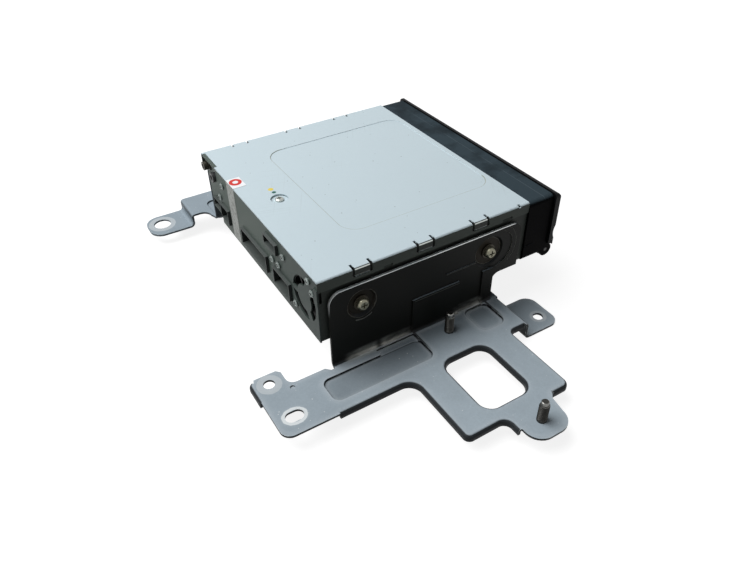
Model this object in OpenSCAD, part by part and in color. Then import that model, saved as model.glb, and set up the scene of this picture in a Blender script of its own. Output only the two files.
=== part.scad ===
// Remote mount disc drive of a car navigation set: a flat steel case with a
// black plastic front, a slot loading drive on rubber dampers inside, a cooling
// fan and sockets at the back, and a stamped mounting bracket on each side.
// X runs across the case, -Y is the front with the door, Z is up.
// The origin is the middle of the flat underside of the case.

/* [Case] */
// Width of the case over the top cover
case_w = 178; // [174:1:186]
// Depth of the steel case, front edge to rear panel
case_d = 152; // [150:1:158]
// Height of the case over the top cover
case_h = 45; // [44:1:50]
// Sheet thickness of the tray and the rear panel
sheet_t = 1; // [0.8:0.1:1.2]
// Sheet thickness of the top cover
cover_t = 0.8; // [0.6:0.1:1]
// Height of the folded side lips of the top cover
lip_h = 7.5; // [6:0.5:9]
// Width of one snap tab of the top cover
tab_w = 9.7; // [8:0.1:12]
// Depth of the pressed panel in the top cover
cover_press = 0.35; // [0.2:0.05:0.5]
// Corner radius of the pressed panel
press_r = 12; // [8:1:16]

/* [Front] */
// Depth of the plastic front behind the door
bezel_d = 20.3; // [19:0.1:24]
// Wall of the plastic front
bezel_wall = 2.2; // [1.8:0.1:2.6]
// Corner radius of the plastic front
bezel_r = 3.5; // [2.5:0.1:5]
// Width of the fold-down door
door_w = 182.6; // [181:0.1:190]
// Thickness of the door
door_t = 4.1; // [3.6:0.1:5]
// Radius of the hinge barrel at the foot of the door
barrel_r = 5.2; // [4.8:0.1:5.6]
// Radius of the hinge pins
hinge_pin_r = 1.25; // [1:0.05:1.5]
// Width of the disc slot
slot_w = 126; // [124:1:132]
// Height of the disc slot
slot_h = 6.2; // [6:0.1:7]
// Width of the eject button
button_w = 12; // [9:0.5:15]
// Height of the eject button
button_h = 5; // [4:0.1:6]
// Travel of the eject button
button_travel = 1.2; // [0.8:0.1:1.4]

/* [Rear] */
// Depth by which the far end of the rear panel is set back
step_d = 3; // [2:0.5:4]
// How far the socket shrouds stand out of the rear panel
shroud_out = 2; // [1.5:0.1:2.5]
// Wall of the socket shrouds
shroud_wall = 1; // [0.8:0.1:1.5]
// Outer radius of the fan aperture
fan_open_r = 14.3; // [13.5:0.1:14.6]
// Radius of the pressed hub in the fan aperture
fan_hub_r = 8.7; // [7:0.1:9.5]
// Side of the square fan frame
fan_side = 30; // [29.5:0.5:32]
// Depth of the fan frame
fan_d = 8; // [7:0.5:10]
// Number of fan blades
fan_blades = 7; // [5:1:9]

/* [Disc drive] */
// Height at which the disc runs
disc_z = 26; // [26:0.5:27]
// Radius of the turntable
turntable_r = 15; // [13:0.5:15.5]
// Radius of the spindle motor
spindle_r = 11.5; // [10:0.1:11.8]
// Radius of the guide rails
rail_r = 1.5; // [1.2:0.1:1.8]
// Travel of the optical pickup
sled_travel = 34; // [30:1:34]
// Radius of the rubber feed roller at its ends
roller_r = 3.6; // [3.2:0.1:3.8]
// Radius of the rubber dampers
damper_r = 5.5; // [4.8:0.1:6]

/* [Brackets] */
// Sheet thickness of both brackets
bracket_t = 1.6; // [1.4:0.1:2]
// Height of the upper edge of the flanges above the case floor
flange_top = 35.4; // [33:0.1:37]
// Depth of the pressed dishes that reach the case wall
dish_d = 1.8; // [1.5:0.1:2.2]
// Depth of the near plate below the case floor
near_drop = 18.5; // [16:0.5:22]
// Depth of the near front ear below the near plate
ear_drop = 12; // [10:0.5:14]
// Reach of the near plate at its neck, from the flange
neck_reach = 34.3; // [33:0.1:36]
// Reach of the near plate at its wide part
plate_reach = 85.8; // [83:0.1:90]
// Reach of the rounded lobe past the flange
lobe_reach = 108.1; // [106:0.1:112]
// Length of the window in the near plate
window_w = 43.6; // [38:0.1:45]
// Width of the window in the near plate
window_h = 32.5; // [28:0.1:34]
// Radius of the weld studs
stud_r = 3; // [2.5:0.1:4]
// Height of the weld studs
stud_h = 15; // [12:0.5:20]
// Radius of the round hole in the rear ear
ear_hole_r = 3.5; // [3:0.1:4]
// Radius of the hole in the front ear
front_hole_r = 3.4; // [3:0.1:4]
// Height of the turned down edges
edge_h = 4.2; // [3.6:0.1:5]
// Depth of the far platform below the case floor
far_drop = 13; // [11:0.5:15]
// Depth of the far foot below the far platform
foot_drop = 9.3; // [8.5:0.1:11]
// Reach of the far platform from the flange
far_reach = 41; // [39:0.1:44]
// Radius of the hole in the far foot
foot_hole_r = 6.5; // [5.5:0.1:7]

/* [Hidden] */
$fn = 48;

// Shared clearances and the overrun of every cut
fit = 0.05;
gap = 0.3;
over = 1;
// Steps of a quarter round in an outline
arc_steps = 8;

// Colours by eye from the photograph
steel_dark = [0.3, 0.33, 0.31];
steel_pale = [0.78, 0.83, 0.86];
paint_grey = [0.55, 0.6, 0.64];
zinc = [0.72, 0.73, 0.72];
black_abs = [0.12, 0.13, 0.14];
board_green = [0.1, 0.35, 0.2];

// Places that follow the case
rear_y = case_d / 2;
front_y = -case_d / 2;
side_x = case_w / 2 - cover_t - 2 * fit;
inner_x = side_x - sheet_t;
wall_top = case_h - cover_t;
bend_r = 1.5;

// Side view helpers: 2D x becomes Y or X, 2D y becomes Z
module along_x(x0, x1) {
  translate([x0, 0, 0]) rotate([90, 0, 90]) linear_extrude(x1 - x0) children();
}
module along_y(y0, y1) {
  translate([0, y1, 0]) rotate([90, 0, 0]) linear_extrude(y1 - y0) children();
}
module along_z(z0, z1) {
  translate([0, 0, z0]) linear_extrude(z1 - z0) children();
}
// A box from its low corner to its high corner
module block(low, high) {
  translate(low) cube(high - low);
}
module rod_x(x0, x1, y, z, r) {
  translate([x0, y, z]) rotate([0, 90, 0]) cylinder(h = x1 - x0, r = r);
}
module rod_y(y0, y1, x, z, r) {
  translate([x, y1, z]) rotate([90, 0, 0]) cylinder(h = y1 - y0, r = r);
}
module rod_z(z0, z1, x, y, r) {
  translate([x, y, z0]) cylinder(h = z1 - z0, r = r);
}
// Rectangle with round corners, low corner at low
module round_rect(low, high, r) {
  size = high - low;
  translate([low[0] + r, low[1]]) square([size[0] - 2 * r, size[1]]);
  translate([low[0], low[1] + r]) square([size[0], size[1] - 2 * r]);
  for (x = [low[0] + r, high[0] - r], y = [low[1] + r, high[1] - r])
    translate([x, y]) circle(r = r);
}
// Open box section with round lower corners, as a folded sheet has
module bottom_round(w, h, r) {
  translate([-w / 2, r]) square([w, h - r]);
  translate([-w / 2 + r, 0]) square([w - 2 * r, r]);
  for (side = [-1, 1]) translate([side * (w / 2 - r), r]) circle(r = r);
}
module u_section(w, h, t, r) {
  difference() {
    bottom_round(w, h, r);
    translate([0, t]) bottom_round(w - 2 * t, h, r - t);
  }
}
// Quarter of a ring in the first quadrant
module ring_quarter(r_in, t) {
  intersection() {
    difference() {
      circle(r = r_in + t);
      circle(r = r_in);
    }
    square([r_in + t, r_in + t]);
  }
}
function arc(c, r, a0, a1) =
  [for (i = [0:arc_steps]) let (a = a0 + (a1 - a0) * i / arc_steps)
    c + r * [cos(a), sin(a)]];

// Chassis tray

snap_back = [29, 72, 113];
snap_y = [for (b = snap_back) rear_y - b];
slit_w = 1.7;
slit_in = 4.8;
slit_down = 5.2;
line_slit = 0.5;
snap_hole = [6, 1.4];
snap_hole_z = wall_top - 1.2 * slit_down;
side_top = wall_top - bend_r / 2;
// Bracket screws, measured from the rear panel and the case floor
screw_back = [26.5, 120];
screw_y = [for (b = screw_back) rear_y - b];
screw_z = 20.7;
screw_r = 2.4;
step_w = 27;
step_x = case_w / 2 - step_w;
notch_in = 1.8;
notch_h = 8.5;
notch_top = case_h - lip_h;
// Dampers and board posts
damper_side = 27;
damper_x = case_w / 2 - damper_side;
damper_in = [16, 36];
damper_y = [front_y + damper_in[0], rear_y - damper_in[1]];
damper_screw_r = 1.5;
post_in = [9, 16, 26];
post_x = inner_x - post_in[0];
post_y = [front_y + post_in[1], rear_y - post_in[2]];
post_r = 3;
post_screw_r = 1.2;
board_lift = 1.6;
board_z = sheet_t + board_lift;
board_t = 1.6;
board_top = board_z + board_t;
cover_screw_x = 1;
cover_screw_back = 20.6;
cover_screw_y = rear_y - cover_screw_back;
cover_screw_r = 1.5;
vent_count = 7;
vent_pitch = 5;
vent_size = [26, 2.2];
vent_back = 62;
vent_y = rear_y - vent_back;

module floor_vents() {
  for (side = [-1, 1], i = [0:vent_count - 1])
    translate([side * case_w / 4, vent_y - i * vent_pitch])
      round_rect([-vent_size[0] / 2, -vent_size[1] / 2], vent_size / 2,
        vent_size[1] / 2.2);
}
module chassis_tray() color(steel_dark) difference() {
  union() {
    along_y(front_y, rear_y - sheet_t) u_section(2 * side_x, side_top, sheet_t, bend_r);
    for (side = [-1, 1]) {
      for (y = post_y) rod_z(0, board_z, side * post_x, y, post_r);
      for (y = damper_y) rod_z(0, board_z, side * damper_x, y, post_r);
    }
  }
  for (side = [-1, 1]) {
    for (y = post_y) rod_z(-over, board_z + over, side * post_x, y, post_screw_r);
    for (y = damper_y) rod_z(-over, board_z + over, side * damper_x, y, damper_screw_r);
    for (y = screw_y) translate([side * side_x, 0, 0])
      rod_x(-sheet_t - over, over, y, screw_z, screw_r + fit);
    for (y = snap_y) translate([side * side_x, y, snap_hole_z])
      cube([2 * sheet_t + over, snap_hole[0], snap_hole[1]], center = true);
  }
  rod_z(-over, sheet_t + over, cover_screw_x, cover_screw_y, cover_screw_r);
  along_z(-over, sheet_t + over) floor_vents();
  // The far end is set back with the rear panel
  block([step_x - sheet_t, rear_y - sheet_t - step_d, -over],
    [side_x + over, rear_y, case_h + over]);
  block([-side_x - over, rear_y - sheet_t - notch_in, notch_top - notch_h],
    [-side_x + sheet_t + over, rear_y, notch_top]);
}

// Rear panel and what it carries

// Sockets: x centre and foot as shares of the case, width and height in mm
socket_shares = [[0, 0.169], [-0.235, 0.164], [0.283, 0.182], [0.413, 0.124], [-0.167, 0.716]];
socket_size = [[40.4, 12.8], [23, 12.8], [14.4, 11.6], [14, 7.4], [17.6, 7.6]];
// Each box: x centre, width, z low, z high
box_of = [for (i = [0:4]) [case_w * socket_shares[i][0], socket_size[i][0],
  case_h * socket_shares[i][1], case_h * socket_shares[i][1] + socket_size[i][1]]];
main_box = box_of[0];
second_box = box_of[1];
left_box = box_of[2];
low_box = box_of[3];
small_box = box_of[4];
socket_depth = 16;
hole_gap = 0.2;
fan_in = 18;
fan_x = fan_in - case_w / 2;
fan_lift_share = 0.29;
fan_z = board_top + fan_side / 2
  + fan_lift_share * (wall_top - board_top - fan_side);
// Bridges that carry the disc in the fan aperture: turn, width
fan_bridges = [[0, 3.2], [120, 8.4], [240, 5.6]];
fan_screw_at = 12;
antenna_in = 6.5;
antenna_at = [case_w / 2 - antenna_in, case_h * 5 / 6];
antenna_r = 3.2;
round_in = 22.4;
round_at = [case_w / 2 - round_in, case_h * 0.79];
round_r = 3.6;
rear_screw_r = 1.3;
rear_screw_shares = [[0.281, 0.811], [0.326, 0.533], [-0.161, 0.533], [-0.258, 0.8],
  [-0.213, 0.556], [-0.441, 0.884]];
rear_screw_at = [for (s = rear_screw_shares) [s[0] * case_w, s[1] * case_h]];
shelf_in = 3;
shelf_x = [step_x, case_w / 2 - shelf_in];
shelf_back = 2.2;
tab_len = 8;
near_tab = [1.4, 4, 0.8];

module socket_hole(box, y) {
  block([box[0] - box[1] / 2 - hole_gap, y - sheet_t - over, box[2] - hole_gap],
    [box[0] + box[1] / 2 + hole_gap, y + over, box[3] + hole_gap]);
}
module fan_slots() {
  difference() {
    circle(r = fan_open_r);
    circle(r = fan_hub_r);
    for (b = fan_bridges) rotate(b[0])
      translate([0, -b[1] / 2]) square([2 * fan_open_r, b[1]]);
  }
}
module rear_panel() color(steel_dark) difference() {
  union() {
    along_z(0, wall_top) {
      translate([-side_x, rear_y - sheet_t]) square([side_x + step_x, sheet_t]);
      translate([step_x - sheet_t, rear_y - sheet_t - step_d])
        square([sheet_t, step_d + sheet_t]);
      translate([step_x - sheet_t, rear_y - sheet_t - step_d])
        square([side_x - step_x + sheet_t, sheet_t]);
    }
    // Side tabs lie inside the tray walls
    block([-inner_x, rear_y - tab_len, 2 * bend_r],
      [-inner_x + sheet_t, rear_y - sheet_t, notch_top - notch_h]);
    block([inner_x - sheet_t, rear_y - step_d - tab_len, 2 * bend_r],
      [inner_x, rear_y - step_d - sheet_t, notch_top - notch_h]);
    // Folded shelf under the cut back edge of the cover
    block([shelf_x[0], rear_y - step_d, wall_top - sheet_t],
      [shelf_x[1], rear_y, wall_top]);
    // Turned tab at the near corner
    translate([-side_x - near_tab[0], rear_y, notch_top - notch_h])
      cube([near_tab[1], near_tab[2], notch_h + lip_h / 3]);
    // Hem that fills the notch of the cover
    block([shelf_x[0] + 2 * gap, rear_y - shelf_back + gap, wall_top],
      [shelf_x[1] - 2 * gap, rear_y, case_h]);
  }
  for (side = [-1, 1]) translate([side * side_x, rear_y, wall_top])
    cube([2 * bend_r, 4 * step_d, bend_r], center = true);
  for (box = [main_box, second_box, left_box, small_box]) socket_hole(box, rear_y);
  socket_hole(low_box, rear_y - step_d);
  translate([fan_x, 0, fan_z]) along_y(rear_y - sheet_t - over, rear_y + over)
    fan_slots();
  for (side = [-1, 1]) translate([side * fan_screw_at, 0, -side * fan_screw_at])
    rod_y(rear_y - sheet_t - over, rear_y + over, fan_x, fan_z, rear_screw_r);
  for (p = rear_screw_at)
    rod_y(rear_y - sheet_t - over, rear_y + over, p[0], p[1], rear_screw_r);
  rod_y(rear_y - step_d - sheet_t - over, rear_y - step_d + over,
    antenna_at[0], antenna_at[1], antenna_r + fit);
  rod_y(rear_y - step_d - sheet_t - over, rear_y - step_d + over,
    round_at[0], round_at[1], round_r + fit);
}

// A round headed screw along +Z, its seat at zero, with a cross recess
cross_w = 0.9;
module cross_screw(head_r, head_h, shank_r, shank_l, washer_r, washer_h) {
  difference() {
    union() {
      translate([0, 0, -shank_l]) cylinder(h = shank_l, r = shank_r);
      if (washer_r > 0) cylinder(h = washer_h, r = washer_r);
      cylinder(h = washer_h + head_h * 0.55, r = head_r);
      translate([0, 0, washer_h + head_h * 0.55])
        cylinder(h = head_h * 0.45, r1 = head_r, r2 = head_r * 0.72);
    }
    for (a = [0, 90]) rotate(a)
      translate([0, 0, washer_h + head_h])
        cube([head_r * 1.1, cross_w, head_h], center = true);
  }
}
small_head = [2.3, 1.5];
small_shank = 4;
fan_screw_on = [for (side = [-1, 1])
  [fan_x + side * fan_screw_at, fan_z - side * fan_screw_at]];
module rear_screws() color(zinc)
  for (p = concat(fan_screw_on, rear_screw_at)) translate([p[0], rear_y, p[1]])
    rotate([-90, 0, 0])
      cross_screw(small_head[0], small_head[1], rear_screw_r, small_shank, 0, 0);

// Top cover

press_x = [-0.32 * case_w, 0.348 * case_w];
press_in = [3.5, 38];
press_y = [front_y + press_in[0], rear_y - press_in[1]];
dimple_r = 5.75;
dimple_d = 1.2;
front_slit_back = 144;
// Notches under the lip: distance from the back, length, height
lip_notch = [[46, 6, 1.6], [134.5, 8, 2]];
cover_head = [2.8, 1.6];

module snap_slits() {
  for (side = [-1, 1], y = snap_y) {
    for (end = [-1, 1])
      translate([side * case_w / 2, y + end * (tab_w + slit_w) / 2, case_h])
        cube([2 * slit_in, slit_w, 2 * slit_down], center = true);
    translate([side * case_w / 2, y, case_h - slit_down])
      cube([2 * cover_t + over, tab_w + slit_w, line_slit], center = true);
  }
}
module top_cover() color(steel_pale) difference() {
  union() {
    difference() {
      translate([0, 0, case_h]) mirror([0, 0, 1]) along_y(front_y, rear_y)
        u_section(case_w, lip_h, cover_t, bend_r);
      along_z(case_h - cover_press, case_h + over)
        round_rect([press_x[0], press_y[0]], [press_x[1], press_y[1]], press_r);
    }
    along_z(wall_top - cover_press, wall_top)
      round_rect([press_x[0], press_y[0]], [press_x[1], press_y[1]], press_r);
    rod_z(wall_top - dimple_d, wall_top, cover_screw_x, cover_screw_y,
      dimple_r + cover_t);
  }
  rod_z(case_h - dimple_d, case_h + over, cover_screw_x, cover_screw_y, dimple_r);
  rod_z(wall_top - dimple_d - over, case_h, cover_screw_x, cover_screw_y,
    cover_screw_r + fit);
  snap_slits();
  translate([-case_w / 2, rear_y - front_slit_back, case_h])
    cube([slit_in, slit_w, 2 * cover_t + over], center = true);
  for (side = [-1, 1], n = lip_notch)
    translate([side * case_w / 2, rear_y - n[0], case_h - lip_h])
      cube([2 * cover_t + over, n[1], 2 * n[2]], center = true);
  block([shelf_x[0] + gap, rear_y - shelf_back, wall_top - over],
    [shelf_x[1] - gap, rear_y + over, case_h + over]);
}
module cover_screw() color(zinc)
  translate([cover_screw_x, cover_screw_y, case_h - dimple_d])
    cross_screw(cover_head[0], cover_head[1], cover_screw_r, small_shank, 0, 0);
// Hollow post that holds the middle of the cover
module cover_post() color(zinc) difference() {
  rod_z(sheet_t, wall_top - dimple_d, cover_screw_x, cover_screw_y, post_r);
  rod_z(wall_top - dimple_d - 2 * small_shank, wall_top, cover_screw_x, cover_screw_y,
    cover_screw_r + fit);
}
// Paper seal over the edge of the cover and down the rear panel
label_x = [0.157 * case_w, 0.23 * case_w];
label_on_top = 9.4;
label_t = 0.15;
label_foot = 1;
module seal_label() color("white") along_x(label_x[0], label_x[1]) {
  translate([rear_y - label_on_top, case_h]) square([label_on_top + label_t, label_t]);
  translate([rear_y, label_foot]) square([label_t, case_h - label_foot + label_t]);
}

// Plastic front, door and button

bezel_proud = 0.6;
bezel_half = case_w / 2 + bezel_proud;
bezel_low = -bezel_proud;
bezel_top = case_h - bezel_proud;
bezel_y = front_y - bezel_d;
tongue_t = 2;
tongue_len = 8;
tongue_z = [10, 34];
fascia_in = 5.3;
fascia_y = bezel_y + fascia_in;
fascia_t = 2;
fascia_back = fascia_y + fascia_t;
disc_t = 1.2;
slot_z = disc_z + disc_t / 2;
door_gap = 0.6;
door_back = bezel_y - door_gap;
door_front = door_back - door_t;
door_top = case_h + gap;
door_r = 3;
hinge_y = bezel_y - door_gap;
hinge_z = 1.2;
lug_w = 3;
lug_r = barrel_r - gap;
barrel_half = bezel_half - lug_w - gap;
waist_z = 15.5;
waist_r = 10.3;
waist_in = 1.3;
button_x = case_w * 0.4215;
led_x = -case_w * 0.393;
led_r = 1.5;
rib_side = [10.8, 1, 8];
board_gap = 7;

module bezel_outline(inset) {
  round_rect([-bezel_half + inset, bezel_low + inset],
    [bezel_half - inset, bezel_top - inset], bezel_r - inset / 2);
}
module front_bezel() color(black_abs) difference() {
  union() {
    difference() {
      along_y(bezel_y, front_y) bezel_outline(0);
      along_y(bezel_y - over, front_y + over) bezel_outline(bezel_wall);
    }
    along_y(fascia_y, fascia_back) bezel_outline(bezel_wall / 2);
    // Tongues that snap inside the tray walls
    for (side = [0, 1]) mirror([side, 0, 0]) {
      block([inner_x - tongue_t, front_y - bezel_wall, tongue_z[0]],
        [inner_x, front_y + tongue_len, tongue_z[1]]);
      block([inner_x - tongue_t, front_y - bezel_wall, tongue_z[0]],
        [bezel_half - bezel_wall / 2, front_y, tongue_z[1]]);
      // Lug that holds the hinge pin, and a low rib on the side wall
      rod_x(bezel_half - lug_w, bezel_half, hinge_y, hinge_z, lug_r);
      translate([bezel_half, front_y - rib_side[2] / 2, rib_side[0]])
        cube([rib_side[1] / 2, rib_side[2], rib_side[1]], center = true);
    }
    // Posts for the front board
    for (x = front_post_x) rod_y(fascia_back, fascia_back + board_gap, x, front_post_z,
      front_post_r);
  }
  rod_x(-barrel_half - gap, barrel_half + gap, hinge_y, hinge_z, barrel_r + gap);
  rod_x(-bezel_half - over, bezel_half + over, hinge_y, hinge_z, hinge_pin_r);
  along_y(fascia_y - over, fascia_back + over)
    round_rect([-slot_w / 2, slot_z - slot_h / 2], [slot_w / 2, slot_z + slot_h / 2],
      slot_h / 2.2);
  block([button_x - button_w / 2 - hole_gap, fascia_y - over,
    slot_z - button_h / 2 - hole_gap],
    [button_x + button_w / 2 + hole_gap, fascia_back + over,
    slot_z + button_h / 2 + hole_gap]);
  rod_y(fascia_y - over, fascia_back + over, led_x, slot_z, led_r + fit);
  for (x = front_post_x) rod_y(fascia_back, fascia_back + board_gap + over, x,
    front_post_z, post_screw_r);
}
module door_side() {
  difference() {
    intersection() {
      translate([door_front, hinge_z]) square([door_t, door_top - hinge_z]);
      union() {
        translate([door_front, hinge_z + barrel_r * 0.6])
          square([door_t, door_top - door_r - hinge_z - barrel_r * 0.6]);
        translate([door_front + door_r, hinge_z]) square([door_t, door_top]);
        translate([door_front + door_r, door_top - door_r]) circle(r = door_r);
      }
    }
    translate([door_front - waist_r + waist_in, waist_z]) circle(r = waist_r);
  }
}
module front_door() color(black_abs) difference() {
  union() {
    intersection() {
      along_x(-door_w / 2, door_w / 2) door_side();
      along_y(door_front - over, door_back + over)
        round_rect([-door_w / 2, -case_h], [door_w / 2, door_top], door_r);
    }
    rod_x(-barrel_half, barrel_half, hinge_y, hinge_z, barrel_r);
  }
  // Room for the lugs at both ends
  for (side = [0, 1]) mirror([side, 0, 0])
    rod_x(barrel_half, door_w, hinge_y, hinge_z, barrel_r + gap);
  rod_x(-barrel_half - over, barrel_half + over, hinge_y, hinge_z, hinge_pin_r + fit);
  // Shallow recess in the back of the door
  along_y(door_back - door_t / 3, door_back + over)
    round_rect([-door_w / 2 + 3 * door_t, hinge_z + 2 * barrel_r],
      [door_w / 2 - 3 * door_t, door_top - 2 * door_r], door_r);
}
pin_into_door = 5;
module door_hinge_pins() color(zinc)
  for (side = [0, 1]) mirror([side, 0, 0])
    rod_x(bezel_half - lug_w - pin_into_door, bezel_half, hinge_y, hinge_z, hinge_pin_r);

felt_t = 0.6;
felt_d = 1.2;
module slot_felt() color([0.06, 0.06, 0.07])
  for (side = [-1, 1])
    translate([0, 0, slot_z + side * (slot_h - felt_t) / 2])
      block([-slot_w / 2 + slot_h / 2, fascia_back - felt_d, -felt_t / 2],
        [slot_w / 2 - slot_h / 2, fascia_back, felt_t / 2]);

button_out = 1.5;
button_rim = 1;
button_rim_t = 1;
module eject_button() color([0.2, 0.21, 0.22]) {
  block([button_x - button_w / 2, fascia_y - button_out, slot_z - button_h / 2],
    [button_x + button_w / 2, fascia_back + gap, slot_z + button_h / 2]);
  block([button_x - button_w / 2 - button_rim, fascia_back + gap,
    slot_z - button_h / 2 - button_rim],
    [button_x + button_w / 2 + button_rim, fascia_back + gap + button_rim_t,
    slot_z + button_h / 2 + button_rim]);
  rod_y(fascia_back + gap, fascia_back + board_gap - switch_d - button_travel - fit,
    button_x, slot_z, switch_r);
}
module status_lens() color([0.6, 0.8, 0.7]) {
  rod_y(fascia_y - gap, fascia_back, led_x, slot_z, led_r);
  rod_y(fascia_back, fascia_back + sheet_t, led_x, slot_z, led_r + button_rim_t);
}

// Front board behind the fascia, with the switch behind the button
front_post_out = 9;
front_post_x = [button_x - front_post_out, button_x + front_post_out];
front_post_z = slot_z - front_post_out;
front_post_r = 2.4;
front_board_edge = 2;
front_board_x = [front_post_x[0] - front_post_r, front_post_x[1] + front_post_r];
front_board_z = [front_post_z - 2 * front_board_edge, slot_z + 3 * front_board_edge];
front_board_y = fascia_back + board_gap;
switch_d = 1.9;
switch_side = 6;
switch_r = 1.5;
module front_board() {
  color(board_green) difference() {
    block([front_board_x[0], front_board_y, front_board_z[0]],
      [front_board_x[1], front_board_y + board_t, front_board_z[1]]);
    for (x = front_post_x) rod_y(front_board_y - over, front_board_y + board_t + over, x,
      front_post_z, post_screw_r + fit);
  }
  color("dimgray") translate([button_x, front_board_y - switch_d / 2, slot_z])
    cube([switch_side, switch_d, switch_side], center = true);
}
// Flat ribbon from the front board down to the main board
ribbon_t = 0.3;
ribbon_w = 6;
ribbon_x = button_x + ribbon_w / 4;
ribbon_r = 3;
ribbon_z = slot_z - ribbon_r - disc_t;
ribbon_in = 10;
ribbon_end_y = front_y + ribbon_in;
module front_ribbon() color("ghostwhite") along_x(ribbon_x, ribbon_x + ribbon_w) {
  translate([front_board_y + board_t, ribbon_z]) square([ribbon_end_y - ribbon_r
    - front_board_y - board_t, ribbon_t]);
  translate([ribbon_end_y - ribbon_r, ribbon_z + ribbon_t - ribbon_r])
    ring_quarter(ribbon_r - ribbon_t, ribbon_t);
  translate([ribbon_end_y - ribbon_t, board_top])
    square([ribbon_t, ribbon_z + ribbon_t - ribbon_r - board_top]);
}

// Steel plate that closes the front of the case behind the bezel
plate_half = inner_x - tongue_t;
plate_slot = [slot_w + slot_h / 2, 1.6 * slot_h];
ribbon_hole = 1.5;
module front_plate() color(steel_dark) difference() {
  block([-plate_half, front_y, sheet_t], [plate_half, front_y + sheet_t, wall_top]);
  block([-plate_slot[0] / 2, front_y - over, slot_z - plate_slot[1] / 2],
    [plate_slot[0] / 2, front_y + sheet_t + over, slot_z + plate_slot[1] / 2]);
  block([ribbon_x - ribbon_hole, front_y - over, ribbon_z - ribbon_hole],
    [ribbon_x + ribbon_w + ribbon_hole, front_y + sheet_t + over,
    ribbon_z + 2 * ribbon_hole]);
}

// Boards and sockets at the back

board_in = 3;
board_x = inner_x - board_in;
board_y = [front_y + 2 * board_in, rear_y - step_d - 2 * sheet_t];
board_hole_gap = 1.5;
module main_board() color(board_green) difference() {
  block([-board_x, board_y[0], board_z], [board_x, board_y[1], board_top]);
  for (side = [-1, 1]) {
    for (y = damper_y) rod_z(board_z - over, board_top + over, side * damper_x, y,
      damper_r + board_hole_gap);
    for (y = post_y) rod_z(board_z - over, board_top + over, side * post_x, y,
      post_screw_r + fit);
  }
  rod_z(board_z - over, board_top + over, cover_screw_x, cover_screw_y,
    post_r + board_hole_gap);
}
module board_screw() {
  cross_screw(small_head[0], small_head[1], post_screw_r, board_t + board_lift, 0, 0);
}
module board_screws() color(zinc) {
  for (side = [-1, 1], y = post_y) translate([side * post_x, y, board_top]) board_screw();
  for (x = front_post_x) translate([x, front_board_y + board_t, front_post_z])
    rotate([-90, 0, 0]) board_screw();
}
// Chips, a ribbon socket and capacitors
chip_h = 1.4;
// Chips: place as shares of half the board, and side
chip_shares = [[-0.36, -0.6], [0.17, -0.58], [0.48, 0.13], [-0.4, 0.28], [0.12, 0.26]];
chip_side = [24, 20, 14, 18, 12];
cap_back = [9, 19, 19];
cap_shares = [0.17, 0.17, -0.326];
cap_at = [for (i = [0:2]) [case_w * cap_shares[i], cap_back[i]]];
cap_r = 3.8;
cap_h = 11;
socket_wide = 2;
module board_parts() {
  for (i = [0:len(chip_side) - 1]) color("dimgray")
    translate([chip_shares[i][0] * board_x, chip_shares[i][1] * case_d / 2,
      board_top + chip_h / 2]) cube([chip_side[i], chip_side[i], chip_h], center = true);
  color("ivory") translate([ribbon_x + ribbon_w / 2, ribbon_end_y + socket_wide / 2,
    board_top + socket_wide]) cube([ribbon_w + socket_wide, socket_wide,
    2 * socket_wide], center = true);
  for (c = cap_at) color("navy") difference() {
    rod_z(board_top, board_top + cap_h, c[0], rear_y - c[1], cap_r);
    translate([c[0], rear_y - c[1], board_top + cap_h]) rotate_extrude()
      translate([cap_r - gap / 2, -2 * gap]) square([gap, gap]);
  }
}
can_x = [-0.146 * case_w, 0.124 * case_w];
can_back = [42, 27];
can_y = [for (b = can_back) rear_y - b];
can_h = 2.4;
module shield_can() color(zinc) difference() {
  block([can_x[0], can_y[0], board_top], [can_x[1], can_y[1], board_top + can_h]);
  block([can_x[0] + gap, can_y[0] + gap, board_top - over],
    [can_x[1] - gap, can_y[1] - gap, board_top + can_h - gap]);
}

// One socket: an open shroud that stands out of the panel, on a foot on its board
module socket(box, panel_y, foot_z) {
  low = [box[0] - box[1] / 2, panel_y - socket_depth, box[2]];
  high = [box[0] + box[1] / 2, panel_y + shroud_out, box[3]];
  difference() {
    block(low, high);
    block([low[0] + shroud_wall, low[1] + 2 * shroud_wall, low[2] + shroud_wall],
      [high[0] - shroud_wall, high[1] + over, high[2] - shroud_wall]);
  }
  block([low[0], low[1], foot_z],
    [high[0], panel_y - sheet_t - gap, box[2]]);
}
module main_connector() color([0.25, 0.26, 0.26]) socket(main_box, rear_y, board_top);
module second_connector() color([0.25, 0.26, 0.26]) socket(second_box, rear_y, board_top);
module left_connector() color([0.25, 0.26, 0.26]) socket(left_box, rear_y, board_top);
module low_connector() color([0.25, 0.26, 0.26])
  socket(low_box, rear_y - step_d, board_top);
riser_z = small_box[2] - shroud_wall;
module small_connector() color([0.25, 0.26, 0.26]) socket(small_box, rear_y, riser_z);
riser_in = 16.4;
riser_x = [small_box[0] - riser_in, small_box[0] + riser_in];
riser_y = [rear_y - 1.5 * socket_depth, rear_y - sheet_t - gap];
riser_post_at = [[riser_x[0] + post_r, riser_y[0] + post_r],
  [riser_x[1] - post_r, riser_y[0] + post_r]];
module riser_board() color(board_green) difference() {
  block([riser_x[0], riser_y[0], riser_z - board_t], [riser_x[1], riser_y[1], riser_z]);
  for (p = riser_post_at) rod_z(riser_z - board_t - over, riser_z + over, p[0], p[1],
    post_screw_r);
}
module riser_posts() color(zinc)
  for (p = riser_post_at) {
    rod_z(board_top, riser_z - board_t, p[0], p[1], post_r);
    rod_z(riser_z - board_t, riser_z + board_t, p[0], p[1], post_screw_r);
  }
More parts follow.
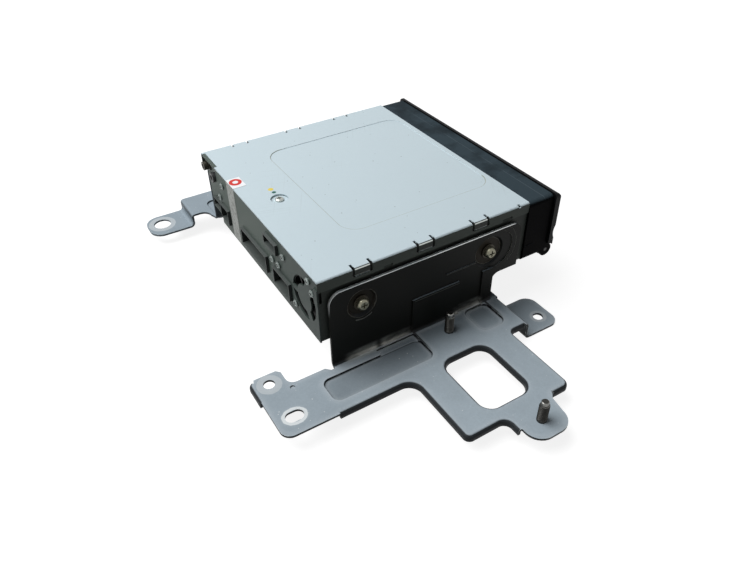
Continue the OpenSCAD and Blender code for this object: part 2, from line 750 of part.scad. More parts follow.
// Contact pins stand on the back wall of each shroud, in two rows
pin_side = 0.8;
pin_pitch = 2.8;
pin_mouth = 6.2;
module pin_rows(box, panel_y, rows) {
  count = floor((box[1] - 2 * shroud_wall - pin_side) / pin_pitch);
  y0 = panel_y - socket_depth + 2 * shroud_wall;
  z_mid = (box[2] + box[3]) / 2;
  for (row = rows, i = [0:count - 1])
    translate([box[0] + (i - (count - 1) / 2) * pin_pitch,
      (y0 + panel_y + shroud_out - pin_mouth) / 2,
      z_mid + row * (box[3] - box[2]) / 5])
      cube([pin_side, panel_y + shroud_out - pin_mouth - y0, pin_side],
        center = true);
}
module connector_pins() color("gold") {
  for (box = [main_box, second_box, left_box]) pin_rows(box, rear_y, [-1, 1]);
  pin_rows(small_box, rear_y, [0]);
  pin_rows(low_box, rear_y - step_d, [0]);
}
// Round sockets on the set back part of the panel
jack_in = 9;
jack_out = 5;
jack_share = 0.55;
nut_t = 1.2;
nut_share = 1.25;
module jack(at, r, sides) {
  y0 = rear_y - step_d;
  difference() {
    union() {
      rod_y(y0 - sheet_t - jack_in, y0 + jack_out, at[0], at[1], r);
      translate([at[0], y0 + nut_t, at[1]]) rotate([90, 0, 0])
        cylinder(h = nut_t, r = r * nut_share, $fn = sides);
      rod_y(y0 - sheet_t - jack_in, y0 - sheet_t, at[0], at[1], r * nut_share);
    }
    rod_y(y0, y0 + jack_out + over, at[0], at[1], r * jack_share);
  }
}
module antenna_jack() color("darkkhaki") jack(antenna_at, antenna_r, 6);
module round_jack() color(black_abs) jack(round_at, round_r, 48);

// Cooling fan

fan_y = rear_y - sheet_t;
fan_wall = 1.4;
fan_bore = fan_side / 2 - fan_wall;
blade_r = fan_bore - fan_wall / 3;
rotor_hub_r = 6.5;
spider_t = 1.5;
spider_r = 5;
shaft_r = 1;
blade_turn = 34;
blade_t = 0.9;
module fan_frame() color([0.1, 0.1, 0.11]) translate([fan_x, 0, fan_z]) difference() {
  union() {
    difference() {
      along_y(fan_y - fan_d, fan_y)
        round_rect([-fan_side / 2, -fan_side / 2], [fan_side / 2, fan_side / 2], 2);
      rod_y(fan_y - fan_d - over, fan_y + over, 0, 0, fan_bore);
    }
    rod_y(fan_y - fan_d, fan_y - fan_d + spider_t, 0, 0, spider_r);
    for (a = [45, 165, 285]) rotate([0, a, 0])
      block([0, fan_y - fan_d, -spider_t / 2],
        [fan_bore + gap, fan_y - fan_d + spider_t, spider_t / 2]);
  }
  rod_y(fan_y - fan_d - over, fan_y, 0, 0, shaft_r + fit);
  for (a = [45, 135, 225, 315])
    translate([fan_screw_at * sign(cos(a)), 0, fan_screw_at * sign(sin(a))])
      rod_y(fan_y - fan_d - over, fan_y + over, 0, 0, rear_screw_r);
}
module fan_rotor() color([0.14, 0.14, 0.15])
  translate([fan_x, fan_y - gap, fan_z]) rotate([90, 0, 0]) {
    rotor_h = fan_d - spider_t - 2 * gap;
    cylinder(h = rotor_h, r = rotor_hub_r);
    cylinder(h = fan_d - gap, r = shaft_r);
    for (i = [0:fan_blades - 1]) rotate(i * 360 / fan_blades) intersection() {
      difference() {
        cylinder(h = rotor_h, r = blade_r);
        translate([0, 0, -over]) cylinder(h = fan_d, r = rotor_hub_r - gap);
      }
      translate([0, 0, rotor_h / 2]) rotate([blade_turn, 0, 0])
        translate([0, -blade_t / 2, -fan_d]) cube([fan_side, blade_t, 2 * fan_d]);
    }
  }

// Disc drive on rubber dampers

disc_in = 68;
disc_y = front_y + disc_in;
base_z = 7;
base_t = 1.2;
base_top = base_z + base_t;
base_side = 17;
base_half = case_w / 2 - base_side;
base_in = [10, 26];
base_y = [front_y + base_in[0], rear_y - base_in[1]];
wall_low = base_top + 5 * base_t;
front_wall_y = base_y[0] + base_in[1];
bridge_z = disc_z + 4 * base_t;
roller_in = 14;
roller_y = front_y + roller_in;
roller_z = disc_z - roller_r - 2 * fit;
roller_shaft_r = 1.5;
rail_dy = 11;
rail_lift = 6.8;
rail_z = base_top + rail_lift;
rail_x = [12.8, base_half - base_t];
lug_x = 25.2;
pivot_back = 30;
pivot_y = rear_y - pivot_back;
pivot_lift = 7.5;
pivot_z = disc_z + pivot_lift;
pivot_r = 1.5;
lug_round = 4;
// The sled gear turns on a pin beside the rack
sled_rest = 24;
gear_m = 0.8;
pinion_teeth = 15;
wheel_m = 0.5;
wheel_teeth = 36;
small_teeth = 12;
rack_off = 18.2;
rack_y = disc_y - rack_off;
gear_x = 30;
gear_y = rack_y - gear_m * pinion_teeth / 2;
motor_turn = -50;
motor_reach = wheel_m * (wheel_teeth + small_teeth) / 2;
sled_motor_at = [gear_x + motor_reach * cos(motor_turn),
  gear_y + motor_reach * sin(motor_turn)];
gear_pin_r = 1;
// Loading gears outside the left wall of the drive
load_m = 0.6;
roller_teeth = 18;
idler_teeth = 16;
drive_teeth = 12;
load_turn = -23;
idler_reach = load_m * (roller_teeth + idler_teeth) / 2;
drive_reach = load_m * (idler_teeth + drive_teeth) / 2;
idler_at = [roller_y + idler_reach * cos(load_turn), roller_z + idler_reach * sin(load_turn)];
drive_at = [idler_at[0] + drive_reach * cos(load_turn),
  idler_at[1] + drive_reach * sin(load_turn)];
load_w = 3;
load_x = -base_half - 2 * gap - load_w;

// Involute outline with a tooth on the X axis
function inv(a) = tan(a) * 180 / PI - a;
function half_tooth(z, m, r) = let (rb = m * z / 2 * cos(20))
  90 / z - 0.12 / (m * z / 2) * 57.3 + inv(20) - (r > rb ? inv(acos(rb / r)) : 0);
function tooth_radii(z, m) = let (rp = m * z / 2, rb = rp * cos(20))
  [rp - 1.2 * m, max(rb, rp - 1.15 * m), (rb + rp) / 2 + 0.02 * m, rp + 0.35 * m,
    rp + 0.95 * m];
function polar(r, a) = [r * cos(a), r * sin(a)];
function gear_outline(z, m) = let (rs = tooth_radii(z, m))
  [for (k = [0:z - 1], i = [0:2 * len(rs) - 1])
    let (low = i < len(rs), r = low ? rs[i] : rs[2 * len(rs) - 1 - i],
      h = half_tooth(z, m, r))
    polar(r, k * 360 / z + (low ? -h : h))];
// Turn of a gear that meshes in direction a with one turned by t
function mesh_turn(a, t, z1, z2) = let (p = (a - t) * z1 / 360)
  a + 180 - (0.5 - (p - floor(p))) * 360 / z2;
// Its share of a tooth where a rack runs past a gear below it
function rack_shift(z, m, t) = let (p = (90 - t) * z / 360)
  (p - floor(p) - 0.5) * PI * m;
module gear(z, m, h, turn) {
  rotate(turn) linear_extrude(h) polygon(gear_outline(z, m));
}

module drive_base() color([0.66, 0.68, 0.68]) difference() {
  union() {
    block([-base_half, base_y[0], base_z], [base_half, base_y[1], base_top]);
    for (side = [-1, 1]) translate([side * (base_half - base_t / 2), 0, 0]) {
      block([-base_t / 2, base_y[0], base_z], [base_t / 2, base_y[1], wall_low]);
      block([-base_t / 2, base_y[0], base_z], [base_t / 2, front_wall_y, bridge_z]);
      block([-base_t / 2, disc_y - 2 * rail_dy, base_z],
        [base_t / 2, disc_y + 2 * rail_dy, rail_z + 3 * rail_r]);
    }
    // Bridge over the mouth of the drive
    block([-base_half, base_y[0], bridge_z], [base_half, front_wall_y, bridge_z + base_t]);
    // Posts at the inner rail ends
    for (side = [-1, 1]) translate([rail_x[0], disc_y + side * rail_dy, 0])
      block([-base_t / 2, -rail_r - base_t, base_z],
        [base_t, rail_r + base_t, rail_z + rail_r + base_t]);
    // Lugs of the clamp arm
    for (side = [-1, 1]) translate([side * lug_x, pivot_y, 0]) {
      block([-base_t / 2, -lug_round, base_z], [base_t / 2, lug_round, pivot_z]);
      rod_x(-base_t / 2, base_t / 2, 0, pivot_z, lug_round);
    }
  }
  for (side = [-1, 1]) {
    for (y = damper_y) rod_z(base_z - over, base_top + over, side * damper_x, y,
      damper_neck_r + fit);
    translate([0, disc_y + side * rail_dy, rail_z])
      rod_x(rail_x[0] - base_t, base_half + over, 0, 0, rail_r);
    translate([side * base_half, 0, 0])
      rod_x(-base_t - over, base_t + over, roller_y, roller_z, roller_shaft_r + fit);
  }
  rod_x(-lug_x - base_t, lug_x + base_t, pivot_y, pivot_z, pivot_r);
  rod_z(base_z - over, base_top + over, gear_x, gear_y, gear_pin_r);
  translate([-base_half, 0, 0]) {
    rod_x(-over, base_t + over, idler_at[0], idler_at[1], gear_pin_r);
    rod_x(-over, base_t + over, drive_at[0], drive_at[1], gear_pin_r + 2 * gap);
  }
  // Windows that lighten the plate
  for (side = [0, 1]) mirror([side, 0, 0]) along_z(base_z - over, base_top + over)
    round_rect([base_half / 3, disc_y + 2.3 * rail_dy],
      [base_half * 3 / 4, disc_y + 4 * rail_dy], lug_round);
}
damper_neck_r = 2.9;
damper_cap_r = 4.5;
damper_top = base_top + damper_neck_r * 0.7;
module rubber_dampers() color([0.08, 0.08, 0.08])
  for (side = [-1, 1], y = damper_y) translate([side * damper_x, y, 0])
    rotate_extrude() difference() {
      union() {
        translate([0, board_z]) square([damper_r, base_z - fit - board_z]);
        translate([0, board_z]) square([damper_neck_r, damper_top - board_z]);
        translate([0, base_top + fit])
          square([damper_cap_r, damper_top - base_top - fit]);
      }
      translate([0, board_z - over])
        square([damper_screw_r + fit, damper_top - board_z + 2 * over]);
    }
damper_head = [3.6, 1.8];
module damper_screws() color(zinc)
  for (side = [-1, 1], y = damper_y) translate([side * damper_x, y, damper_top])
    cross_screw(damper_head[0], damper_head[1], damper_screw_r,
      damper_top - sheet_t / 2, 0, 0);

spindle_drop = 8;
spindle_top = disc_z - spindle_drop;
seat_t = 2;
hub_r = 7.3;
hub_h = 2;
module spindle_motor() color(zinc) difference() {
  union() {
    rod_z(base_top, base_top + base_t, 0, disc_y, spindle_r + gap);
    rod_z(base_top, spindle_top, 0, disc_y, spindle_r);
  }
  rod_z(base_top + base_t, spindle_top + over, 0, disc_y, shaft_r + fit);
}
module turntable() color([0.16, 0.16, 0.17]) {
  rod_z(base_top + base_t + gap, disc_z - seat_t, 0, disc_y, shaft_r);
  rod_z(spindle_top + gap, disc_z - seat_t, 0, disc_y, spindle_r - gap);
  rod_z(disc_z - seat_t, disc_z, 0, disc_y, turntable_r);
  translate([0, disc_y, disc_z]) cylinder(h = hub_h, r1 = hub_r, r2 = hub_r - hub_h / 2);
}
module guide_rails() color("silver")
  for (side = [-1, 1])
    rod_x(rail_x[0] - base_t / 2, base_half, disc_y + side * rail_dy, rail_z, rail_r);

// The pickup carries a rack on its front side
sled_size = [8.5, 11];
rack_spare = 5;
sled_x = [sled_rest - sled_size[0], sled_rest + sled_size[1]];
sled_half = 14;
sled_z = [base_top + 1.5 * base_t, disc_z - 2.5 * hub_h];
rack_z = [base_top + rail_lift * 0.56, rail_z];
rack_x = [gear_x - sled_travel - rack_spare, sled_rest + sled_size[1]];
rack_lean = tan(20) * gear_m;
lens_r = 3.4;
lens_seat = 4.5;
pinion_turn = 0;
module rack_teeth() {
  pitch = PI * gear_m;
  shift = gear_x + rack_shift(pinion_teeth, gear_m, pinion_turn);
  first = ceil((rack_x[0] - shift) / pitch) + 1;
  last = floor((rack_x[1] - shift) / pitch) - 1;
  for (k = [first:last]) translate([shift + k * pitch, rack_y])
    polygon([[-pitch / 4 + fit - 1.2 * rack_lean, 1.2 * gear_m],
      [-pitch / 4 + fit + 0.95 * rack_lean, -0.95 * gear_m],
      [pitch / 4 - fit - 0.95 * rack_lean, -0.95 * gear_m],
      [pitch / 4 - fit + 1.2 * rack_lean, 1.2 * gear_m]]);
}
module optical_pickup() color([0.5, 0.5, 0.52]) difference() {
  union() {
    block([sled_x[0], disc_y - sled_half, sled_z[0]],
      [sled_x[1], disc_y + sled_half, sled_z[1]]);
    block([rack_x[0], rack_y + 1.2 * gear_m, rack_z[0]],
      [rack_x[1], disc_y - sled_half, rack_z[1]]);
    translate([0, 0, rack_z[0]]) linear_extrude(rack_z[1] - rack_z[0]) rack_teeth();
  }
  for (side = [-1, 1])
    rod_x(sled_x[0] - over, sled_x[1] + over, disc_y + side * rail_dy, rail_z,
      rail_r + fit);
  rod_z(rail_z - rail_r, sled_z[1] + over, sled_rest, disc_y, lens_seat + fit);
  // Hollow above the rails
  for (side = [-1, 1]) translate([0, disc_y + side * sled_half * 0.7, 0])
    block([sled_x[0] + hub_h, -sled_half / 5, sled_z[1] - hub_h],
      [sled_x[1] - hub_h, sled_half / 5, sled_z[1] + over]);
}
lens_play = 0.6;
module objective_lens() color([0.35, 0.3, 0.5]) {
  rod_z(rail_z - rail_r + lens_play + gap, sled_z[1] + lens_play, sled_rest, disc_y,
    lens_seat);
  rod_z(sled_z[1] + lens_play, disc_z - 1.5 * hub_h, sled_rest, disc_y, lens_r);
  translate([sled_rest, disc_y, disc_z - 1.5 * hub_h]) cylinder(h = hub_h / 2,
    r1 = lens_r * 0.7, r2 = lens_r * 0.3);
}
wheel_z = rack_z[1] + 2 * gap;
wheel_h = 2;
module sled_gear() color("ivory") translate([gear_x, gear_y, 0]) difference() {
  union() {
    translate([0, 0, rack_z[0]]) gear(pinion_teeth, gear_m, wheel_z - rack_z[0],
      pinion_turn);
    translate([0, 0, wheel_z]) gear(wheel_teeth, wheel_m, wheel_h, 0);
  }
  rod_z(base_top, wheel_z + wheel_h + over, 0, 0, gear_pin_r + fit);
}
sled_motor_r = 5;
module sled_motor() color(zinc) difference() {
  rod_z(base_top, rack_z[1] - gap, sled_motor_at[0], sled_motor_at[1], sled_motor_r);
  rod_z(base_top + base_t, rack_z[1], sled_motor_at[0], sled_motor_at[1],
    gear_pin_r + fit);
}
module sled_pinion() color("gold") translate([sled_motor_at[0], sled_motor_at[1], 0]) {
  translate([0, 0, wheel_z]) gear(small_teeth, wheel_m, wheel_h,
    mesh_turn(motor_turn, 0, wheel_teeth, small_teeth));
  rod_z(base_top + base_t + gap, wheel_z, 0, 0, gear_pin_r);
}
pin_out = 0.5;
module gear_pins() color("silver") {
  rod_z(base_z, wheel_z + wheel_h + pin_out, gear_x, gear_y, gear_pin_r);
  rod_x(load_x - pin_out, -base_half + base_t, idler_at[0], idler_at[1], gear_pin_r);
}

roller_half = 60;
roller_share = 0.7;
module feed_roller() {
  color("silver")
    rod_x(load_x, base_half + load_w / 2, roller_y, roller_z, roller_shaft_r);
  color([0.1, 0.1, 0.1]) for (side = [-1, 1]) translate([0, roller_y, roller_z])
    rotate([0, side * 90, 0])
      cylinder(h = roller_half, r1 = roller_r * roller_share, r2 = roller_r);
}
module roller_gear() color("ivory") translate([load_x, roller_y, roller_z])
  rotate([90, 0, 90]) difference() {
    gear(roller_teeth, load_m, load_w, 0);
    translate([0, 0, -over]) cylinder(h = load_w + 2 * over, r = roller_shaft_r);
  }
idler_turn = mesh_turn(load_turn, 0, roller_teeth, idler_teeth);
module idler_gear() color("ivory") translate([load_x, idler_at[0], idler_at[1]])
  rotate([90, 0, 90]) difference() {
    gear(idler_teeth, load_m, load_w, idler_turn);
    translate([0, 0, -over]) cylinder(h = load_w + 2 * over, r = gear_pin_r + fit);
  }
load_motor_r = 6;
load_motor_l = 18;
module loading_motor() color(zinc) difference() {
  union() {
    rod_x(-base_half + base_t, -base_half + base_t + load_motor_l, drive_at[0],
      drive_at[1], load_motor_r);
    block([-base_half + base_t, drive_at[0] - load_motor_r / 2, base_top],
      [-base_half + base_t + load_motor_l, drive_at[0] + load_motor_r / 2,
      drive_at[1]]);
  }
  rod_x(-base_half, -base_half + load_motor_l / 2, drive_at[0], drive_at[1],
    gear_pin_r + fit);
}
module loading_pinion() color("gold") translate([0, drive_at[0], drive_at[1]]) {
  translate([load_x, 0, 0]) rotate([90, 0, 90]) gear(drive_teeth, load_m, load_w,
    mesh_turn(load_turn, idler_turn, idler_teeth, drive_teeth));
  rod_x(load_x + load_w, -base_half + load_motor_l / 2 - gap, 0, 0, gear_pin_r);
}
guide_low = disc_z + 1.8 * base_t;
guide_in = 6;
module disc_guide() color([0.85, 0.85, 0.82]) along_x(-base_half + guide_in,
  base_half - guide_in) polygon([[base_y[0] + base_t, bridge_z],
    [base_y[0] + base_t, guide_low + base_t], [roller_y - roller_r / 2, guide_low],
    [roller_y + roller_r, guide_low], [front_wall_y - base_t, bridge_z]]);

// Clamp arm and its free turning puck
arm_t = 1.2;
arm_low = pivot_z - 0.6 * arm_t;
arm_w = [46, 26];
puck_hole = 8;
puck_low = disc_z + 3.9 * disc_t / 1.2;
puck_r = 13;
ear_in = 3;
arm_tip = 14;
module clamp_arm() color([0.6, 0.62, 0.63]) difference() {
  union() {
    along_z(arm_low, arm_low + arm_t) polygon([[-arm_w[0] / 2, pivot_y - ear_in],
      [-arm_w[1] / 2, disc_y], [-arm_w[1] / 2, disc_y - arm_tip],
      [arm_w[1] / 2, disc_y - arm_tip], [arm_w[1] / 2, disc_y],
      [arm_w[0] / 2, pivot_y - ear_in]]);
    for (side = [0, 1]) mirror([side, 0, 0]) translate([arm_w[0] / 2, pivot_y, 0]) {
      rod_x(0, arm_t, 0, pivot_z, ear_in);
      block([-arm_t, -2.5 * ear_in, arm_low], [arm_t, 0, arm_low + arm_t]);
    }
  }
  rod_z(arm_low - over, arm_low + arm_t + over, 0, disc_y, puck_hole);
  rod_x(-lug_x, lug_x, pivot_y, pivot_z, pivot_r + fit);
  // The plate stops short of the pivot rod
  block([-arm_w[0] / 2, pivot_y - ear_in, arm_low - over],
    [arm_w[0] / 2, pivot_y + ear_in, arm_low + arm_t + over]);
}
module clamp_pivot() color("silver")
  rod_x(-lug_x - base_t / 2, lug_x + base_t / 2, pivot_y, pivot_z, pivot_r);
module disc_clamp() color([0.2, 0.2, 0.21]) translate([0, disc_y, 0]) difference() {
  union() {
    rod_z(puck_low, arm_low - 2 * gap, 0, 0, puck_r);
    rod_z(arm_low - 2 * gap, arm_low + arm_t + 2 * gap, 0, 0, puck_hole - fit);
    rod_z(arm_low + arm_t + 2 * gap, arm_low + 2 * arm_t, 0, 0, puck_hole + hub_h);
  }
  rod_z(puck_low - over, puck_low + hub_h, 0, 0, hub_r + disc_t);
}

// Stamped brackets. Both are drawn for the +X side from the outer face of the
// flange outwards, with Y counted from the rear panel, and the near one is mirrored.

flange_x = side_x + dish_d + bracket_t;
in_r = 2.4;
out_r = bracket_t + 0.8;
lap = 0.8;
flange_y = [-145, -5.2];
foot_y = -124.5;
lobe_z = 1;
dish_rs = [9.7, 11.5];
dish_slope = 1.4;
pad_d = 1.4;
pad_r = 5;

// Section of a turned down edge, outer face at x = 0, top at y = 0
module edge_section() {
  translate([-out_r, -out_r]) ring_quarter(out_r - bracket_t, bracket_t);
  translate([-bracket_t, -edge_h]) square([bracket_t, edge_h - out_r]);
  translate([-out_r - lap, -bracket_t]) square([lap, bracket_t]);
}
module edge_run(at, turn, length) {
  translate([at[0], at[1], -near_drop]) rotate(turn) along_y(0, length) edge_section();
}
module edge_out(c, r, a0, a1) {
  translate([c[0], c[1], -near_drop]) rotate(a0) rotate_extrude(angle = a1 - a0)
    translate([r, 0]) edge_section();
}
module edge_in(c, r, a0, a1) {
  translate([c[0], c[1], -near_drop]) rotate(a0) rotate_extrude(angle = a1 - a0)
    translate([r, 0]) mirror([1, 0]) edge_section();
}
// Flange with its pressed dishes round the screws
module dish_cut(r) {
  rotate([0, 90, 0]) translate([0, 0, -bracket_t - over])
    cylinder(h = bracket_t + 2 * over, r = r);
}
module dish(r) {
  rotate([0, 90, 0]) rotate_extrude() polygon([[screw_r + gap, -dish_d],
    [r - dish_slope, -dish_d], [r, 0], [r + lap, 0], [r + lap, -bracket_t],
    [r + dish_slope / 3, -bracket_t], [r - 2 * dish_slope / 3, -bracket_t - dish_d],
    [screw_r + gap, -bracket_t - dish_d]]);
}
module flange(outline, top_z, bend_y) {
  difference() {
    along_x(-bracket_t, 0) polygon(outline);
    for (i = [0, 1]) translate([0, -screw_back[i], screw_z]) dish_cut(dish_rs[i]);
  }
  for (i = [0, 1]) translate([0, -screw_back[i], screw_z]) dish(dish_rs[i]);
  // Bend into the plate
  along_y(bend_y[0], bend_y[1]) translate([in_r, top_z + in_r]) rotate(180)
    ring_quarter(in_r, bracket_t);
}
flange_r = [8.4, 7.5, 6];
function flange_outline(back_y, end_y, low_z) = concat(
  [[back_y, low_z]],
  arc([back_y - flange_r[0], flange_top - flange_r[0]], flange_r[0], 0, 90),
  arc([flange_y[0] + flange_r[1], flange_top - flange_r[1]], flange_r[1], 90, 180),
  [[flange_y[0], lobe_z]],
  arc([end_y - flange_r[2], lobe_z - flange_r[2]], flange_r[2], 90, 0),
  [[end_y, low_z]]);

// Outline of the near plate. The bends take out_r off the edges that turn down.
neck_in = -0.5;
ear_u = [-14.5, neck_reach];
ear_y = [23.5, 42.9];
ear_edge_y = 43.9;
ear_edge_u = [-10.5, 3.7];
neck_edge = neck_reach + 0.3;
neck_turn = [9, -31.3];
neck_fillet = 8.5;
shoulder_y = -39.8;
plate_r = [4, 5, 5, 3.5];
notch_y = [-61.5, -66.5];
lobe_y = [-68.8, -96.5];
lobe_edge_u = 95.7;
lobe_r = 10;
low_edge_y = [-101.5, -115];
front_neck = neck_reach - 1.2;
front_y_edge = -129.6;
front_in = -4;
ear_wall_u = [2.9, neck_reach - 0.4];
ear_corner = 6.5;
function near_outline() = concat(
  [[in_r, flange_y[1]], [in_r, flange_y[1] + in_r], [neck_in, 0]],
  arc([neck_in - pad_r, ear_y[0] - pad_r], pad_r, 0, 90),
  [[ear_u[0] + in_r, ear_y[0]], [ear_u[0], ear_y[0] + in_r],
    [ear_u[0], ear_edge_y - plate_r[0]], [ear_edge_u[0], ear_edge_y - out_r],
    [ear_edge_u[1], ear_edge_y - out_r], [ear_edge_u[1], ear_y[1]]],
  arc([neck_reach - ear_corner, ear_y[1] - ear_corner], ear_corner, 90, 0),
  [[neck_reach, neck_turn[0]], [neck_edge - out_r, neck_turn[0]]],
  arc([neck_edge + neck_fillet, neck_turn[1]], neck_fillet + out_r, 180, 270),
  arc([plate_reach - plate_r[0], shoulder_y - plate_r[0]], plate_r[0] - out_r, 90, 0),
  arc([plate_reach + plate_r[1], notch_y[0]], plate_r[1] + out_r, 180, 270),
  [[lobe_edge_u, notch_y[1] - out_r], [lobe_edge_u, lobe_y[0]]],
  arc([lobe_reach - lobe_r, lobe_y[0] - lobe_r], lobe_r, 90, 0),
  arc([lobe_reach - lobe_r, lobe_y[1] + lobe_r], lobe_r, 0, -90),
  [[plate_reach + out_r, low_edge_y[0] + 1.4 * out_r], [plate_reach, low_edge_y[0] + out_r / 2],
    [plate_reach - out_r, low_edge_y[0]]],
  arc([plate_reach - plate_r[2], low_edge_y[1] + plate_r[2]], plate_r[2] - out_r, 0, -90),
  arc([front_neck + plate_r[3], low_edge_y[1] - plate_r[3]], plate_r[3] + out_r, 90, 180),
  [[front_neck - out_r, front_y_edge + out_r], [ear_wall_u[0], front_y_edge + out_r],
    [ear_wall_u[0], front_y_edge], [front_in, front_y_edge], [front_in, foot_y],
    [in_r, foot_y]]);
window_u = 32.7;
window_y = -61;
window_r = 8;
// Pads: u low, u high, y low, y high
pads = [[7.5, 26, -62, 7], [7.5 - pad_r, 24.5, -119, -100]];
pad_foot = [2.4, 9, -62, -34];
hole_at = [-6.7, 33.4];
slot_at = [22.2, 31.2];
slot_size = [7.6, 11.2];
dimple_at = [2.5, 22.8];
small_dimple_r = 1.5;
stud_in = 11.5;
stud_back = 82;
studs_at = [[12.3, -stud_back], [lobe_reach - stud_in, -stud_back]];
front_hole_at = [22.9, -149.6];
ear_end = -158.8;
ear_end_r = [8.2, 7];
// Pressed panels that stiffen the flange foot: y low, y high
foot_panels = [[-97, -61.5], [foot_y, -115.5]];
panel_top = 7.3;
panel_out = 1.1;
groove = [-112, -84, 16.5, 26, 0.5];
// Shallow ring pressed round the front dish, off its middle
ring_shift = 5;
ring_r = 13.6;

module pad_shape(p, wider) {
  round_rect([p[0] - wider, p[2] - wider], [p[1] + wider, p[3] + wider], pad_r + wider);
}
// A pad and the foot that carries it on to the bend; below the plate it is wider
module near_pads(wider) {
  for (p = pads) pad_shape(p, wider);
  translate([pad_foot[0] - wider, pad_foot[2] - wider])
    square([pad_foot[1] - pad_foot[0] + 2 * wider, pad_foot[3] - pad_foot[2] + 2 * wider]);
}
module near_plate() {
  window = [[window_u, window_y - window_h], [window_u + window_w, window_y]];
  difference() {
    union() {
      along_z(-near_drop - bracket_t, -near_drop) difference() {
        polygon(near_outline());
        round_rect(window[0] - [out_r, out_r], window[1] + [out_r, out_r],
          window_r + out_r);
      }
      along_z(-near_drop - bracket_t - pad_d, -near_drop - bracket_t) near_pads(lap);
    }
    along_z(-near_drop - pad_d, -near_drop + over) near_pads(0);
    rod_z(-near_drop - 2 * bracket_t, -near_drop + over, hole_at[0], hole_at[1],
      ear_hole_r);
    for (end = [-1, 1]) translate([slot_at[0], slot_at[1]
      + end * (slot_size[1] - slot_size[0]) / 2, 0])
      rod_z(-near_drop - 2 * bracket_t, -near_drop + over, 0, 0, slot_size[0] / 2);
    translate([slot_at[0] - slot_size[0] / 2, slot_at[1] - (slot_size[1]
      - slot_size[0]) / 2, -near_drop - 2 * bracket_t])
      cube([slot_size[0], slot_size[1] - slot_size[0], 4 * bracket_t]);
    rod_z(-near_drop - bracket_t / 2, -near_drop + over, dimple_at[0], dimple_at[1],
      small_dimple_r);
  }
  // Turned down edges, from the rear ear round to the front neck
  edge_run([ear_edge_u[1], ear_edge_y], 90, ear_edge_u[1] - ear_edge_u[0]);
  edge_out([ear_edge_u[0], ear_edge_y - plate_r[0]], plate_r[0], 90, 150);
  edge_run([neck_edge, neck_turn[1]], 0, neck_turn[0] - neck_turn[1]);
  edge_in([neck_edge + neck_fillet, neck_turn[1]], neck_fillet, 180, 270);
  edge_run([plate_reach - plate_r[0], shoulder_y], 90,
    plate_reach - plate_r[0] - neck_edge - neck_fillet);
  edge_out([plate_reach - plate_r[0], shoulder_y - plate_r[0]], plate_r[0], 0, 90);
  edge_run([plate_reach, notch_y[0]], 0, shoulder_y - plate_r[0] - notch_y[0]);
  edge_in([plate_reach + plate_r[1], notch_y[0]], plate_r[1], 180, 270);
  edge_run([lobe_edge_u, notch_y[1]], 90, lobe_edge_u - plate_reach - plate_r[1]);
  edge_run([plate_reach, low_edge_y[1] + plate_r[2]], 0,
    low_edge_y[0] - low_edge_y[1] - plate_r[2]);
  edge_out([plate_reach - plate_r[2], low_edge_y[1] + plate_r[2]], plate_r[2], -90, 0);
  edge_run([front_neck + plate_r[3], low_edge_y[1]], -90,
    plate_reach - plate_r[2] - front_neck - plate_r[3]);
  edge_in([front_neck + plate_r[3], low_edge_y[1] - plate_r[3]], plate_r[3], 90, 180);
  edge_run([front_neck, front_y_edge + out_r], 0,
    low_edge_y[1] - plate_r[3] - front_y_edge - out_r);
  // Rolled edge of the window
  edge_run([window[0][0], window[0][1] + window_r], 0, window_h - 2 * window_r);
  edge_run([window[1][0], window[1][1] - window_r], 180, window_h - 2 * window_r);
  edge_run([window[1][0] - window_r, window[0][1]], 90, window_w - 2 * window_r);
  edge_run([window[0][0] + window_r, window[1][1]], -90, window_w - 2 * window_r);
  for (corner = [[0, 0, 180], [1, 0, 270], [1, 1, 0], [0, 1, 90]])
    edge_in([window[corner[0]][0] + (1 - 2 * corner[0]) * window_r,
      window[corner[1]][1] + (1 - 2 * corner[1]) * window_r], window_r,
      corner[2], corner[2] + 90);
}
module front_ear() {
  low = -near_drop - ear_drop;
  along_x(ear_wall_u[0], ear_wall_u[1]) {
    translate([front_y_edge + out_r, -near_drop - out_r]) rotate(90)
      ring_quarter(out_r - bracket_t, bracket_t);
    translate([front_y_edge, low + in_r]) square([bracket_t, ear_drop - out_r - in_r]);
    translate([front_y_edge - in_r, low + in_r]) rotate(-90)
      ring_quarter(in_r, bracket_t);
  }
  difference() {
    along_z(low - bracket_t, low) polygon(concat(
      [[ear_wall_u[0], front_y_edge - in_r]],
      arc([ear_wall_u[0] + ear_end_r[0], ear_end + ear_end_r[0]], ear_end_r[0], 180, 270),
      arc([ear_wall_u[1] - ear_end_r[1], ear_end + ear_end_r[1]], ear_end_r[1], 270, 360),
      [[ear_wall_u[1], front_y_edge - in_r]]));
    rod_z(low - 2 * bracket_t, low + over, front_hole_at[0], front_hole_at[1],
      front_hole_r);
  }
}
module foot_panel(p) {
  translate([0, 0, -near_drop]) difference() {
    along_y(p[0], p[1]) union() {
      translate([-bracket_t, in_r]) square([bracket_t + panel_out,
        panel_top + near_drop - in_r]);
      translate([-bracket_t / 2, -bracket_t / 2])
        square([in_r + panel_out + bracket_t / 2, in_r + bracket_t / 2]);
    }
    translate([in_r + panel_out, 0, in_r]) along_y(p[0] - over, p[1] + over)
      circle(r = in_r);
  }
}
module left_bracket() color(paint_grey)
  translate([-flange_x, rear_y, 0]) mirror([1, 0, 0]) {
    difference() {
      union() {
        flange(flange_outline(flange_y[1], foot_y, in_r - near_drop), -near_drop,
          [foot_y, flange_y[1]]);
        for (p = foot_panels) foot_panel(p);
      }
      along_x(-groove[4], over) translate([-screw_back[1] - ring_shift, screw_z])
        circle(r = ring_r);
      along_x(-groove[4], over)
        round_rect([groove[0], groove[2]], [groove[1], groove[3]], 2 * in_r);
    }
    near_plate();
    front_ear();
  }
